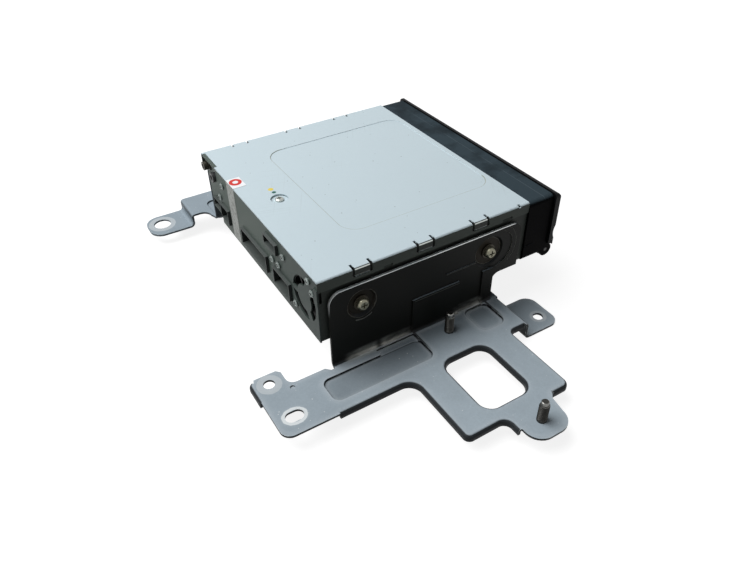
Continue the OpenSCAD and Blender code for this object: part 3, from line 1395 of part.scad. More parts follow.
stud_tip = [2.2, 2.4];
module weld_studs() color(zinc)
  for (p = studs_at) translate([-flange_x - p[0], rear_y + p[1], -near_drop]) {
    cylinder(h = stud_h - stud_tip[1], r = stud_r);
    translate([0, 0, stud_h - stud_tip[1]]) cylinder(h = stud_tip[1], r = stud_tip[0]);
  }

// Far bracket: a platform with a stepped foot at the back
far_y = -3;
far_notch_u = 13.5;
far_notch_r = 7;
far_wall_y = 12;
far_narrow = 24;
far_step_y = -42;
far_end_y = -126;
far_pad = [3, 26.7, -38, -4];
far_hole_at = [13.5, -114];
far_foot_end = 43.7;
far_foot_r = 10;
far_foot_hole = [28.7, 32.3];
function far_outline() = concat(
  [[in_r, far_y]],
  arc([far_notch_u - far_notch_r, far_notch_r + far_y / 2], far_notch_r, 270, 360),
  [[far_notch_u, far_wall_y - out_r], [far_reach, far_wall_y - out_r]],
  arc([far_reach - plate_r[0], far_step_y + plate_r[0]], plate_r[0], 0, -90),
  arc([far_narrow + lobe_r, far_step_y - lobe_r], lobe_r, 90, 180),
  arc([far_narrow - lobe_r, far_end_y + lobe_r], lobe_r, 0, -90),
  [[in_r, far_end_y]]);
module right_bracket() color(paint_grey) translate([flange_x, rear_y, 0]) {
  low = -far_drop - foot_drop;
  flange(flange_outline(far_y, far_end_y, in_r - far_drop), -far_drop, [far_end_y, far_y]);
  difference() {
    union() {
      along_z(-far_drop - bracket_t, -far_drop) polygon(far_outline());
      along_z(-far_drop - bracket_t - pad_d, -far_drop - bracket_t)
        pad_shape(far_pad, lap);
    }
    along_z(-far_drop - pad_d, -far_drop + over) pad_shape(far_pad, 0);
    rod_z(-far_drop - 2 * bracket_t, -far_drop + over, far_hole_at[0], far_hole_at[1],
      ear_hole_r);
  }
  along_x(far_notch_u, far_reach) {
    translate([far_wall_y - out_r, -far_drop - out_r])
      ring_quarter(out_r - bracket_t, bracket_t);
    translate([far_wall_y - bracket_t, low + in_r])
      square([bracket_t, foot_drop - out_r - in_r]);
    translate([far_wall_y + in_r, low + in_r]) rotate(180)
      ring_quarter(in_r, bracket_t);
  }
  difference() {
    along_z(low - bracket_t, low) polygon(concat(
      [[far_notch_u, far_wall_y + in_r]],
      arc([far_notch_u + far_foot_r, far_foot_end - far_foot_r], far_foot_r, 180, 90),
      arc([far_reach - far_foot_r, far_foot_end - far_foot_r], far_foot_r, 90, 0),
      [[far_reach, far_wall_y + in_r]]));
    rod_z(low - 2 * bracket_t, low + over, far_foot_hole[0], far_foot_hole[1],
      foot_hole_r);
  }
}
bolt_head = [3.9, 3.6];
bolt_washer = [4.9, 1];
nut_h = 3;
weld_nut_r = 5;
module bracket_screws() color(zinc)
  for (side = [-1, 1], y = screw_y)
    translate([side * (flange_x - dish_d), y, screw_z]) rotate([0, side * 90, 0])
      cross_screw(bolt_head[0], bolt_head[1], screw_r,
        bracket_t + 2 * sheet_t + nut_h, bolt_washer[0], bolt_washer[1]);
module weld_nuts() color(zinc)
  for (side = [-1, 1], y = screw_y) translate([side * (inner_x - nut_h / 2), 0, 0])
    difference() {
      rod_x(-nut_h / 2, nut_h / 2, y, screw_z, weld_nut_r);
      rod_x(-nut_h, nut_h, y, screw_z, screw_r + fit);
    }

chassis_tray();
rear_panel();
top_cover();
cover_screw();
cover_post();
seal_label();
front_plate();
front_bezel();
front_door();
door_hinge_pins();
slot_felt();
eject_button();
status_lens();
front_board();
front_ribbon();
main_board();
board_screws();
board_parts();
shield_can();
main_connector();
second_connector();
left_connector();
low_connector();
small_connector();
riser_board();
riser_posts();
connector_pins();
antenna_jack();
round_jack();
fan_frame();
fan_rotor();
rear_screws();
drive_base();
rubber_dampers();
damper_screws();
spindle_motor();
turntable();
guide_rails();
optical_pickup();
objective_lens();
sled_gear();
sled_motor();
sled_pinion();
gear_pins();
feed_roller();
roller_gear();
idler_gear();
loading_motor();
loading_pinion();
disc_guide();
clamp_arm();
clamp_pivot();
disc_clamp();
left_bracket();
right_bracket();
weld_studs();
bracket_screws();
weld_nuts();
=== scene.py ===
"""Looks of the car navigation drive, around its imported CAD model."""

import math

import bmesh
import bpy
from mathutils import Matrix, Vector


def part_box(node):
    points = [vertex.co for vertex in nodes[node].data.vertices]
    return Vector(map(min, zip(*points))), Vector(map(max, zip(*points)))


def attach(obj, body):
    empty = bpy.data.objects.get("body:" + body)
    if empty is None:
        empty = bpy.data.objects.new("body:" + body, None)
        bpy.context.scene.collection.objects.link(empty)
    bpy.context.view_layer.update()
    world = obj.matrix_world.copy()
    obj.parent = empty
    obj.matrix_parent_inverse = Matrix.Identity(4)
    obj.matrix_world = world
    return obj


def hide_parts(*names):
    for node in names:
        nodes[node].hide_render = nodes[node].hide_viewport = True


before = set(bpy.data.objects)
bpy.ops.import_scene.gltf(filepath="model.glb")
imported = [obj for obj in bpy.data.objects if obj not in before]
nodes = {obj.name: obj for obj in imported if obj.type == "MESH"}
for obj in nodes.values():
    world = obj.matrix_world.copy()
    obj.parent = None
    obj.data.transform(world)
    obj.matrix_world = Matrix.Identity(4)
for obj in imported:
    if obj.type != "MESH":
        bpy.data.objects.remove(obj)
scene = bpy.context.scene
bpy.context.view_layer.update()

# The studio: a pale floor under the lowest foot of the brackets, one broad lamp
# above and beyond the drive, and a dim room. What the camera and reflections see
# of the floor and the room is white, while the light that they give back is low.
MM = 0.001

# In metres: the floor's height and side
FLOOR_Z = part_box("left_bracket")[0].z - 0.02 * MM
FLOOR_SIDE = 8
# How light the room is for the drive, where the camera sees 1
ROOM_LIGHT = 0.05
# How light the floor is under the drive and far away, and where it turns
GLOW_UNDER, GLOW_AFAR = 0.86, 1.0
FADE_FROM, FADE_TO = 0.35, 0.8
# The floor's greys: the one that lights the drive, and the one that is seen
UNSEEN_GREY = (0.07, 0.07, 0.07, 1)
SHOWN_GREY = (0.34, 0.34, 0.34, 1)
WHITE = (1, 1, 1, 1)
# The lamp: where it is, its side in metres and its power
LAMP_PLACE = Vector((0.3, 0.5, 1.0))
LAMP_SIDE = 1.1
LAMP_WATTS = 16.5
# The camera as it was fitted to the corners of the case in the photo
LENS = 31.587
CAMERA_PLACE = Matrix(
    (
        (-0.52621715, 0.52593867, -0.6681946, -0.340620),
        (-0.85029893, -0.33407452, 0.4066767, 0.192339),
        (-0.00933979, 0.78216541, 0.62300083, 0.265653),
        (0, 0, 0, 1),
    )
)


def wire(tree, kind, inputs=(), **fields):
    """Adds a shader node, sets its fields, and sets or links its inputs."""
    made = tree.nodes.new(kind)
    for field, value in fields.items():
        setattr(made, field, value)
    for name, value in dict(inputs).items():
        if isinstance(value, bpy.types.NodeSocket):
            tree.links.new(value, made.inputs[name])
        else:
            made.inputs[name].default_value = value
    return made


def seen_directly(tree):
    """1 where the camera, a reflection or a clear piece sees the surface."""
    path = wire(tree, "ShaderNodeLightPath")
    pair = wire(
        tree,
        "ShaderNodeMath",
        {0: path.outputs["Is Camera Ray"], 1: path.outputs["Is Glossy Ray"]},
        operation="MAXIMUM",
    )
    return wire(
        tree,
        "ShaderNodeMath",
        {0: pair.outputs[0], 1: path.outputs["Is Transmission Ray"]},
        operation="MAXIMUM",
    ).outputs[0]


scene.view_settings.view_transform = "Standard"
room = bpy.data.worlds.new("dim_room")
room.use_nodes = True
scene.world = room
tree = room.node_tree
tree.nodes.clear()
seen = seen_directly(tree)
strength = wire(
    tree, "ShaderNodeMapRange", {"Value": seen, "To Min": ROOM_LIGHT, "To Max": 1.0}
)
sky = wire(
    tree,
    "ShaderNodeBackground",
    {"Color": WHITE, "Strength": strength.outputs["Result"]},
)
wire(tree, "ShaderNodeOutputWorld", {"Surface": sky.outputs[0]})

bpy.ops.object.select_all(action="DESELECT")
bpy.ops.mesh.primitive_plane_add(size=FLOOR_SIDE, location=(0, 0, FLOOR_Z))
floor = bpy.context.object
floor.name = "floor"
bpy.ops.object.transform_apply()
paint = bpy.data.materials.new("pale_floor")
paint.use_nodes = True
tree = paint.node_tree
tree.nodes.clear()
dim = wire(tree, "ShaderNodeBsdfDiffuse", {"Color": UNSEEN_GREY})
lit = wire(tree, "ShaderNodeBsdfDiffuse", {"Color": SHOWN_GREY})
away = wire(
    tree,
    "ShaderNodeVectorMath",
    {0: wire(tree, "ShaderNodeTexCoord").outputs["Object"]},
    operation="LENGTH",
)
fade = wire(
    tree,
    "ShaderNodeMapRange",
    {"Value": away.outputs["Value"], "From Min": FADE_FROM, "From Max": FADE_TO,
     "To Min": GLOW_UNDER, "To Max": GLOW_AFAR},
)
glow = wire(
    tree,
    "ShaderNodeEmission",
    {"Color": WHITE, "Strength": fade.outputs["Result"]},
)
shown = wire(tree, "ShaderNodeAddShader", {0: lit.outputs[0], 1: glow.outputs[0]})
both = wire(
    tree,
    "ShaderNodeMixShader",
    {0: seen_directly(tree), 1: dim.outputs[0], 2: shown.outputs[0]},
)
wire(tree, "ShaderNodeOutputMaterial", {"Surface": both.outputs[0]})
floor.data.materials.append(paint)

bpy.ops.object.light_add(type="AREA", location=LAMP_PLACE)
lamp = bpy.context.object
lamp.name = "broad_lamp"
lamp.data.size = LAMP_SIDE
lamp.data.energy = LAMP_WATTS
lamp.rotation_euler = LAMP_PLACE.to_track_quat("Z", "Y").to_euler()

bpy.ops.object.camera_add()
camera = bpy.context.object
camera.name = "camera"
camera.data.lens = LENS
camera.data.clip_start = 0.01
camera.matrix_world = CAMERA_PLACE
scene.camera = camera


# The tray is folded from galvanised steel sheet: a floor with vent slots, two side
# walls and tabs. The plate behind the bezel, the nuts in its walls and the post
# under the cover's screw are welded or pressed into it.

# The heights in millimetres between which painted shade darkens the walls
SHADE_FROM, SHADE_TO = 37.8, 38.6
# Points of a sheet that lie this near to each other, in millimetres, are one point
MERGE_WITHIN = 0.002
# In degrees: faces that meet at less than this are one face, edges over this are eased,
# and edges under this are shaded smooth
FLAT_WITHIN = 0.5
SHARP_OVER = 35
SMOOTH_UNDER = 50


def tone(red, green, blue):
    """A colour by its shown values, 0 to 255, as the shader's own values."""
    shown = (red / 255, green / 255, blue / 255)
    return tuple(
        c / 12.92 if c <= 0.04045 else ((c + 0.055) / 1.055) ** 2.4 for c in shown
    ) + (1,)


def shader_group(name, inputs, outputs):
    """An empty shader group with the given sockets."""
    group = bpy.data.node_groups.new(name, "ShaderNodeTree")
    for direction, sockets in (("INPUT", inputs), ("OUTPUT", outputs)):
        for label, kind in sockets:
            group.interface.new_socket(
                label, in_out=direction, socket_type="NodeSocket" + kind
            )
    return group, wire(group, "NodeGroupInput"), wire(group, "NodeGroupOutput")


def maths(tree, operation, first, second=0.0):
    """The output of one sum on two values."""
    return wire(
        tree, "ShaderNodeMath", {0: first, 1: second}, operation=operation
    ).outputs[0]


# Mottle varies a colour and its gloss, in fine flecks and in broad patches
mottle, given, out = shader_group(
    "mottle",
    (("Color", "Color"), ("Fleck", "Float"), ("Patch", "Float"), ("Depth", "Float"),
     ("Roughness", "Float"), ("Spread", "Float")),
    (("Color", "Color"), ("Roughness", "Float"), ("Height", "Float")),
)
place = wire(mottle, "ShaderNodeTexCoord").outputs["Object"]
fleck = wire(
    mottle,
    "ShaderNodeTexNoise",
    {"Vector": place, "Scale": maths(mottle, "DIVIDE", 1000, given.outputs["Fleck"]),
     "Detail": 3.0, "Roughness": 0.6},
)
patch = wire(
    mottle,
    "ShaderNodeTexNoise",
    {"Vector": place, "Scale": maths(mottle, "DIVIDE", 1000, given.outputs["Patch"]),
     "Detail": 4.0, "Roughness": 0.55, "Distortion": 0.4},
)
total = maths(mottle, "ADD", fleck.outputs[0], patch.outputs[0])
mean = maths(mottle, "MULTIPLY", total, 0.5)
swing = maths(mottle, "MULTIPLY", maths(mottle, "SUBTRACT", mean, 0.5), 4.0)
share = maths(mottle, "MULTIPLY", swing, given.outputs["Depth"])
gain = maths(mottle, "ADD", share, 1.0)
toned = wire(
    mottle,
    "ShaderNodeVectorMath",
    {0: given.outputs["Color"], 1: gain},
    operation="MULTIPLY",
)
mottle.links.new(toned.outputs[0], out.inputs["Color"])
rough = maths(
    mottle,
    "ADD",
    maths(mottle, "MULTIPLY", swing, given.outputs["Spread"]),
    given.outputs["Roughness"],
)
mottle.links.new(rough, out.inputs["Roughness"])
mottle.links.new(fleck.outputs[0], out.inputs["Height"])


def finish(name, color, roughness, fleck=1.0, patch=25.0, depth=0.12, spread=0.06,
           bump=0.1, grain_height=0.02, metallic=0.0, **sockets):
    """A material with flecks and patches in its colour, gloss and relief.
    Fleck and patch are sizes in millimetres, grain_height is one too."""
    made = bpy.data.materials.new(name)
    made.use_nodes = True
    tree = made.node_tree
    tree.nodes.clear()
    base = wire(
        tree,
        "ShaderNodeGroup",
        {"Color": color, "Fleck": fleck, "Patch": patch, "Depth": depth,
         "Roughness": roughness, "Spread": spread},
        node_tree=mottle,
        name="mottle",
    )
    relief = wire(
        tree,
        "ShaderNodeBump",
        {"Height": base.outputs["Height"], "Strength": bump,
         "Distance": grain_height * MM},
        name="relief",
    )
    surface = wire(
        tree,
        "ShaderNodeBsdfPrincipled",
        {"Base Color": base.outputs["Color"], "Roughness": base.outputs["Roughness"],
         "Normal": relief.outputs[0], "Metallic": metallic},
        name="surface",
    )
    for label, value in sockets.items():
        surface.inputs[label.replace("_", " ")].default_value = value
    wire(tree, "ShaderNodeOutputMaterial", {"Surface": surface.outputs[0]})
    return made


def lay_over(material, mask, color=None, roughness=None, metallic=None):
    """Mixes a colour, a gloss or a metal over a finish where the mask is 1."""
    tree = material.node_tree
    surface = tree.nodes["surface"]
    for label, value in (("Base Color", color), ("Roughness", roughness),
                         ("Metallic", metallic)):
        if value is None:
            continue
        colored = label == "Base Color"
        # The places of the Mix node's two inputs and its output, for colours or numbers
        low, high, result = (6, 7, 2) if colored else (2, 3, 0)
        socket = surface.inputs[label]
        below = socket.links[0].from_socket if socket.links else socket.default_value
        mixed = wire(tree, "ShaderNodeMix", data_type="RGBA" if colored else "FLOAT")
        for place, given in ((0, mask), (low, below), (high, value)):
            if isinstance(given, bpy.types.NodeSocket):
                tree.links.new(given, mixed.inputs[place])
            else:
                mixed.inputs[place].default_value = given
        tree.links.new(mixed.outputs[result], socket)


def dress(material, *names):
    """Gives CAD nodes or pieces their material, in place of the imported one."""
    for name in names:
        piece = nodes[name] if isinstance(name, str) else name
        piece.data.materials.clear()
        piece.data.materials.append(material)
        piece.data.polygons.foreach_set("material_index", [0] * len(piece.data.polygons))
        piece.data.update()


def rounded_copy(node, name, body, width, segments=2):
    """A merged copy of a CAD node with its sharp edges eased, in the node's place."""
    bpy.ops.object.select_all(action="DESELECT")
    copy = bpy.data.objects.new(name, nodes[node].data.copy())
    scene.collection.objects.link(copy)
    bpy.context.view_layer.objects.active = copy
    copy.select_set(True)
    bpy.ops.object.mode_set(mode="EDIT")
    bpy.ops.mesh.select_all(action="SELECT")
    bpy.ops.mesh.remove_doubles(threshold=MERGE_WITHIN * MM)
    bpy.ops.mesh.dissolve_limited(angle_limit=math.radians(FLAT_WITHIN))
    bpy.ops.mesh.customdata_custom_splitnormals_clear()
    bpy.ops.object.mode_set(mode="OBJECT")
    eased = copy.modifiers.new("eased_edges", "BEVEL")
    eased.limit_method = "ANGLE"
    eased.angle_limit = math.radians(SHARP_OVER)
    eased.width = width * MM
    eased.segments = segments
    eased.use_clamp_overlap = True
    bpy.ops.object.modifier_apply(modifier="eased_edges")
    bpy.ops.object.shade_smooth_by_angle(angle=math.radians(SMOOTH_UNDER))
    flat = copy.modifiers.new("flat_faces", "WEIGHTED_NORMAL")
    flat.keep_sharp = True
    bpy.ops.object.modifier_apply(modifier="flat_faces")
    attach(copy, body)
    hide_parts(node)
    return copy


def ramp(tree, value, low, high):
    """0 where the value is under low, 1 where it is over high, smooth between."""
    return wire(
        tree,
        "ShaderNodeMapRange",
        {"Value": value, "From Min": low, "From Max": high},
        interpolation_type="SMOOTHSTEP",
    ).outputs["Result"]


def coordinate(tree, axis):
    """How far along an axis of the drive a point of the piece is, in metres."""
    place = wire(tree, "ShaderNodeTexCoord").outputs["Object"]
    return wire(tree, "ShaderNodeSeparateXYZ", {0: place}).outputs[axis]


galvanised = finish("galvanised", tone(52, 57, 53), 0.55, fleck=3, patch=18,
                    depth=0.16, Specular_IOR_Level=0.2)
tree = galvanised.node_tree
# Painted shade darkens the tops of the walls, where one looks in through the cover's snap
# slits
painted_shade_wall_top = ramp(tree, coordinate(tree, "Z"), SHADE_FROM * MM, SHADE_TO * MM)
lay_over(galvanised, painted_shade_wall_top, color=tone(9, 10, 9), roughness=0.8)
tray = rounded_copy("chassis_tray", "folded_tray", "chassis", 0.2)
dress(galvanised, tray, "front_plate", "cover_post", "weld_nuts")

# The rear panel is a second galvanised sheet, screwed to the tray. It carries the
# sockets, the jacks and the fan, and has dulled to olive grey.
dull_galvanised = finish("dull_galvanised", tone(80, 91, 85), 0.55, fleck=2.5,
                         patch=14, depth=0.2, Specular_IOR_Level=0.2)
tree = dull_galvanised.node_tree
# The panel is darker from its middle to its near end
towards_near_side = maths(tree, "MULTIPLY", coordinate(tree, "X"), -1)
darker_to_near_end = maths(tree, "MULTIPLY", ramp(tree, towards_near_side, -10 * MM, 90 * MM), 0.8)
lay_over(dull_galvanised, darker_to_near_end, color=tone(40, 50, 48))
panel = rounded_copy("rear_panel", "rear_sheet", "chassis", 0.15)
dress(dull_galvanised, panel)

# The electronics: a green main board on six screws, a riser board on posts, moulded
# chips, a tinned shield can and rows of socket pins.
board_green = finish("board_green", tone(38, 92, 58), 0.38, fleck=0.8, patch=6, depth=0.3)
moulded_chip = finish("moulded_chip", tone(42, 43, 46), 0.6, fleck=0.4, patch=5)
tinned_sheet = finish("tinned_sheet", tone(178, 182, 180), 0.35, fleck=1.5, patch=12,
                      depth=0.08, metallic=0.9)
zinc_plate = finish("zinc_plate", tone(176, 180, 176), 0.3, fleck=0.5, patch=4,
                    depth=0.14, spread=0.1, metallic=0.9)
pin_brass = finish("pin_brass", tone(190, 168, 108), 0.32, fleck=0.4, patch=3,
                   depth=0.1, metallic=1.0)
dress(board_green, "main_board", "riser_board")
dress(moulded_chip, "board_parts")
dress(tinned_sheet, "shield_can")
dress(zinc_plate, "board_screws", "riser_posts")
dress(pin_brass, "connector_pins")

# Five wiring sockets in dark grey nylon stand on the board and look out through the
# rear panel. Two round jacks with metal shells sit at its far end.
# Stance tells how much a surface stands upright, faces upward or is tilted
stance, given, out = shader_group(
    "stance", (), (("Upright", "Float"), ("Upward", "Float"), ("Tilted", "Float"))
)
facing = wire(stance, "ShaderNodeSeparateXYZ",
              {0: wire(stance, "ShaderNodeNewGeometry").outputs["Normal"]}).outputs["Z"]
level = ramp(stance, maths(stance, "ABSOLUTE", facing), 0.35, 0.8)
stance.links.new(maths(stance, "SUBTRACT", 1.0, level), out.inputs["Upright"])
stance.links.new(ramp(stance, facing, 0.45, 0.9), out.inputs["Upward"])
level = ramp(stance, maths(stance, "ABSOLUTE", facing), 0.84, 0.99)
stance.links.new(maths(stance, "SUBTRACT", 1.0, level), out.inputs["Tilted"])


def masked(material, group, output="Mask", **values):
    """The mask of a shader group placed in a material with its own values."""
    made = wire(material.node_tree, "ShaderNodeGroup", node_tree=group)
    for label, value in values.items():
        made.inputs[label.replace("_", " ")].default_value = value
    return made.outputs[output]


socket_grey = finish("socket_grey", tone(80, 86, 84), 0.5, fleck=0.35, patch=7,
                     depth=0.1, bump=0.2, Specular_IOR_Level=0.2)
# The upright sides of the sockets are painted darker as shade
painted_shade_sides = maths(socket_grey.node_tree, "MULTIPLY",
                     masked(socket_grey, stance, "Upright"), 0.75)
lay_over(socket_grey, painted_shade_sides, color=tone(34, 38, 37))
for node in ("main_connector", "second_connector", "left_connector",
             "low_connector", "small_connector"):
    shell = rounded_copy(node, node + "_shell", "chassis", 0.12)
    dress(socket_grey, shell)
jack_black = finish("jack_black", tone(40, 41, 42), 0.42, fleck=0.4, patch=6)
jack_metal = finish("jack_metal", tone(66, 64, 56), 0.4, fleck=0.4, patch=4, depth=0.25,
                    metallic=0.7)
dress(jack_metal, "antenna_jack")
dress(jack_black, "round_jack")

# The fan is a square black moulding behind the panel, with a bladed wheel, held by
# two of the panel's screws. All the rear screws are zinc plated.
fan_black = finish("fan_black", tone(15, 16, 16), 0.5, fleck=0.4, patch=8,
                   Specular_IOR_Level=0.2)
dark_zinc = finish("dark_zinc", tone(118, 127, 124), 0.26, fleck=0.6, patch=4,
                   depth=0.25, spread=0.1, metallic=0.8)
dress(fan_black, "fan_frame", "fan_rotor")
dress(dark_zinc, "rear_screws")

# The disc drive hangs on four rubber dampers: a plated steel base with two ground
# rails, the spindle motor and its turntable, and the clamp that comes down on it.
plated_steel = finish("plated_steel", tone(168, 172, 172), 0.4, fleck=2, patch=20,
                      depth=0.08, metallic=0.7)
soft_rubber = finish("soft_rubber", tone(38, 38, 38), 0.75, fleck=0.5, patch=5)
ground_rod = finish("ground_rod", tone(200, 203, 206), 0.2, fleck=0.3, patch=4,
                    depth=0.05, metallic=1.0)
cast_alloy = finish("cast_alloy", tone(150, 151, 154), 0.5, fleck=0.7, patch=6,
                    depth=0.15, bump=0.3, metallic=0.8)
natural_nylon = finish("natural_nylon", tone(222, 218, 204), 0.45, fleck=0.5, patch=6,
                       depth=0.05, Subsurface_Weight=0.1)
dark_nylon = finish("dark_nylon", tone(44, 45, 47), 0.45, fleck=0.4, patch=8)
dress(plated_steel, "drive_base", "clamp_arm", "disc_guide")
dress(soft_rubber, "rubber_dampers")
dress(zinc_plate, "damper_screws")
dress(ground_rod, "guide_rails", "clamp_pivot", "gear_pins")
dress(cast_alloy, "spindle_motor", "optical_pickup", "sled_motor", "loading_motor")
dress(dark_nylon, "turntable", "disc_clamp")
dress(natural_nylon, "sled_gear", "sled_pinion", "roller_gear", "idler_gear",
      "loading_pinion")
dress(soft_rubber, "feed_roller")
lens_glass = finish("lens_glass", tone(150, 170, 205), 0.05, fleck=1, patch=8,
                    depth=0.04, bump=0.0, Coat_Weight=0.6)
dress(lens_glass, "objective_lens")

# The bezel is a black moulded collar on the front of the tray. It holds the disc
# slot with its felt, the eject button and the lamp window, on a small board. Dust
# has settled on its top, over a painted sheen of sky reflection.

# Where the crease behind the collar is along the case, in millimetres
CREASE_FROM, CREASE_TO = -89.4, -89.0


def product(tree, *masks):
    """All the masks multiplied together."""
    made = masks[0]
    for mask in masks[1:]:
        made = maths(tree, "MULTIPLY", made, mask)
    return made


def within(tree, value, low, high, soft=0.1):
    """1 where the value is between low and high, in millimetres."""
    over = ramp(tree, value, (low - soft) * MM, (low + soft) * MM)
    under = ramp(tree, value, (high - soft) * MM, (high + soft) * MM)
    return maths(tree, "MULTIPLY", over, maths(tree, "SUBTRACT", 1.0, under))


collar_black = finish("collar_black", tone(5, 5, 6), 0.5, fleck=0.35, patch=30,
                      depth=0.14, bump=0.25, grain_height=0.03, Specular_IOR_Level=0.015)
# Dust lies in drifts on the upward faces, over a painted sheen of sky reflection on all of
# them
upward_faces = masked(collar_black, stance, "Upward")
tree = collar_black.node_tree
place = wire(tree, "ShaderNodeTexCoord").outputs["Object"]
drift = wire(tree, "ShaderNodeTexNoise",
             {"Vector": place, "Scale": 38.0, "Detail": 5.0, "Roughness": 0.6})
sheen_and_drifts = maths(tree, "ADD", 0.45, ramp(tree, drift.outputs[0], 0.3, 0.75))
dust_and_painted_sheen = maths(tree, "MULTIPLY", upward_faces, sheen_and_drifts)
lay_over(collar_black, dust_and_painted_sheen, color=tone(58, 70, 77), roughness=0.6)
# A paler line runs along the crease
crease = product(tree, upward_faces,
                 within(tree, coordinate(tree, "Y"), CREASE_FROM, CREASE_TO),
                 ramp(tree, drift.outputs[0], 0.4, 0.6))
lay_over(collar_black, crease, color=tone(84, 94, 101))
collar = rounded_copy("front_bezel", "bezel_collar", "chassis", 0.3)
dress(collar_black, collar)
slot_lining = finish("slot_lining", tone(30, 30, 32), 0.95, fleck=0.3, patch=4,
                     depth=0.3, bump=0.6, grain_height=0.1)
dress(slot_lining, "slot_felt")
key_black = finish("key_black", tone(52, 54, 57), 0.4, fleck=0.3, patch=5, bump=0.2)
dress(key_black, "eject_button")
window_amber = finish("window_amber", tone(120, 70, 40), 0.15, fleck=0.5, patch=4,
                      depth=0.05)
dress(window_amber, "status_lens")
dress(board_green, "front_board")
flat_cable = finish("flat_cable", tone(214, 214, 206), 0.45, fleck=0.6, patch=6,
                    depth=0.06)
dress(flat_cable, "front_ribbon")

# The door is one thick black moulding as wide as the drive, with a round barrel at
# its foot that turns on two steel pins.
door_black = finish("door_black", tone(14, 15, 17), 0.45, fleck=0.35, patch=40,
                    depth=0.14, bump=0.25, grain_height=0.03, Specular_IOR_Level=0.1)
door = rounded_copy("front_door", "door_moulding", "door", 0.3)
dress(door_black, door)
pin_black = finish("pin_black", tone(12, 12, 12), 0.45, fleck=0.4, patch=4)
dress(pin_black, "door_hinge_pins")

# The cover is pale coated steel, pressed with one broad low panel, folded down on
# three sides and snapped over the tray. One screw holds it in a dimple.

# In millimetres: the middles of the snap tabs along the case, how far from them their
# slits are, how wide each is to either side, and where the slits begin
SNAP_TABS = (47, 4, -37)
SLIT_OFFSET, SLIT_HALF, SLIT_X = 5.7, 0.9, -86.6
# The outer face of a tab: its half length, where it begins, and its foot and head
TAB_HALF, TAB_X, TAB_FOOT, TAB_HEAD = 4.8, -88, 40, 44
LIP_TOP = 44.2
# The pressed panel: its middle, its half sizes and the radius of its corners
PRESS_CENTRE, PRESS_HALF, PRESS_CORNER = (2.5, -17.25), (59.45, 55.25), 12
# The dabs of paint: their place, their size and their colour
PAINT_DABS = (
    (14.4, 55.4, 4.0, (228, 206, 92)),
    (10, 55, 3.2, (20, 86, 76)),
)

# Ragged ring draws a ring with a ragged edge, or a dab where its radius is 0: wear, paint,
# print and painted highlights. Stretch weighs the axes: 0 for the one that it is seen
# along, under 1 to draw the ring out
ragged_ring, given, out = shader_group(
    "ragged_ring",
    (("Centre", "Vector"), ("Radius", "Float"), ("Width", "Float"),
     ("Stretch", "Vector")),
    (("Mask", "Float"),),
)
place = wire(ragged_ring, "ShaderNodeTexCoord").outputs["Object"]
aside = wire(ragged_ring, "ShaderNodeVectorMath", {0: place, 1: given.outputs["Centre"]},
             operation="SUBTRACT")
flat = wire(ragged_ring, "ShaderNodeVectorMath",
            {0: aside.outputs[0], 1: given.outputs["Stretch"]}, operation="MULTIPLY")
reach = wire(ragged_ring, "ShaderNodeVectorMath", {0: flat.outputs[0]}, operation="LENGTH")
ripple = wire(ragged_ring, "ShaderNodeTexNoise",
              {"Vector": place, "Scale": 420.0, "Detail": 3.0, "Roughness": 0.6})
wobble = maths(
    ragged_ring, "MULTIPLY", maths(ragged_ring, "SUBTRACT", ripple.outputs[0], 0.5), 0.9 * MM
)
off_ring = maths(
    ragged_ring, "SUBTRACT", reach.outputs["Value"], given.outputs["Radius"]
)
off_ring = maths(ragged_ring, "ABSOLUTE", maths(ragged_ring, "ADD", wobble, off_ring))
half = maths(ragged_ring, "MULTIPLY", given.outputs["Width"], 0.5)
inside = maths(ragged_ring, "DIVIDE", maths(ragged_ring, "SUBTRACT", half, off_ring), 0.5 * MM)
ragged_ring.links.new(ramp(ragged_ring, inside, 0.0, 1.0), out.inputs["Mask"])

# Specks strews small dots of uneven size, in loose clouds
specks, given, out = shader_group(
    "specks", (("Size", "Float"), ("Share", "Float")), (("Mask", "Float"),)
)
place = wire(specks, "ShaderNodeTexCoord").outputs["Object"]
dots = wire(specks, "ShaderNodeTexVoronoi",
            {"Vector": place, "Scale": maths(specks, "DIVIDE", 300, given.outputs["Size"])})
luck = wire(specks, "ShaderNodeSeparateColor", {0: dots.outputs["Color"]})
cloud = wire(specks, "ShaderNodeTexNoise",
             {"Vector": place, "Scale": 60.0, "Detail": 3.0, "Roughness": 0.6})
chance = maths(specks, "MULTIPLY", given.outputs["Share"],
               ramp(specks, cloud.outputs[0], 0.35, 0.7))
kept = maths(specks, "LESS_THAN", luck.outputs["Red"], chance)
reach = maths(specks, "MULTIPLY", luck.outputs["Green"], 0.3)
spot = ramp(specks, maths(specks, "SUBTRACT", reach, dots.outputs["Distance"]), 0.0, 0.06)
specks.links.new(maths(specks, "MULTIPLY", kept, spot), out.inputs["Mask"])

# Scratches draws fine streaks along one direction, where the sheet is worn
scratches, given, out = shader_group(
    "scratches", (("Turn", "Float"), ("Share", "Float")), (("Mask", "Float"),)
)
place = wire(scratches, "ShaderNodeTexCoord").outputs["Object"]
along = wire(scratches, "ShaderNodeVectorRotate",
             {"Vector": place, "Angle": given.outputs["Turn"]}, rotation_type="Z_AXIS")
drawn = wire(scratches, "ShaderNodeVectorMath", {0: along.outputs[0], 1: (22, 900, 1)},
             operation="MULTIPLY")
streak = wire(scratches, "ShaderNodeTexNoise",
              {"Vector": drawn.outputs[0], "Scale": 1.0, "Detail": 1.0})
worn = wire(scratches, "ShaderNodeTexNoise",
            {"Vector": place, "Scale": 14.0, "Detail": 2.0})
worn = maths(scratches, "MULTIPLY", maths(scratches, "SUBTRACT", worn.outputs[0], 0.5), 0.6)
level = maths(scratches, "ADD", streak.outputs[0], worn)
edge = maths(scratches, "SUBTRACT", 0.9, given.outputs["Share"])
level = maths(scratches, "SUBTRACT", level, edge)
scratches.links.new(ramp(scratches, level, 0.0, 0.04), out.inputs["Mask"])


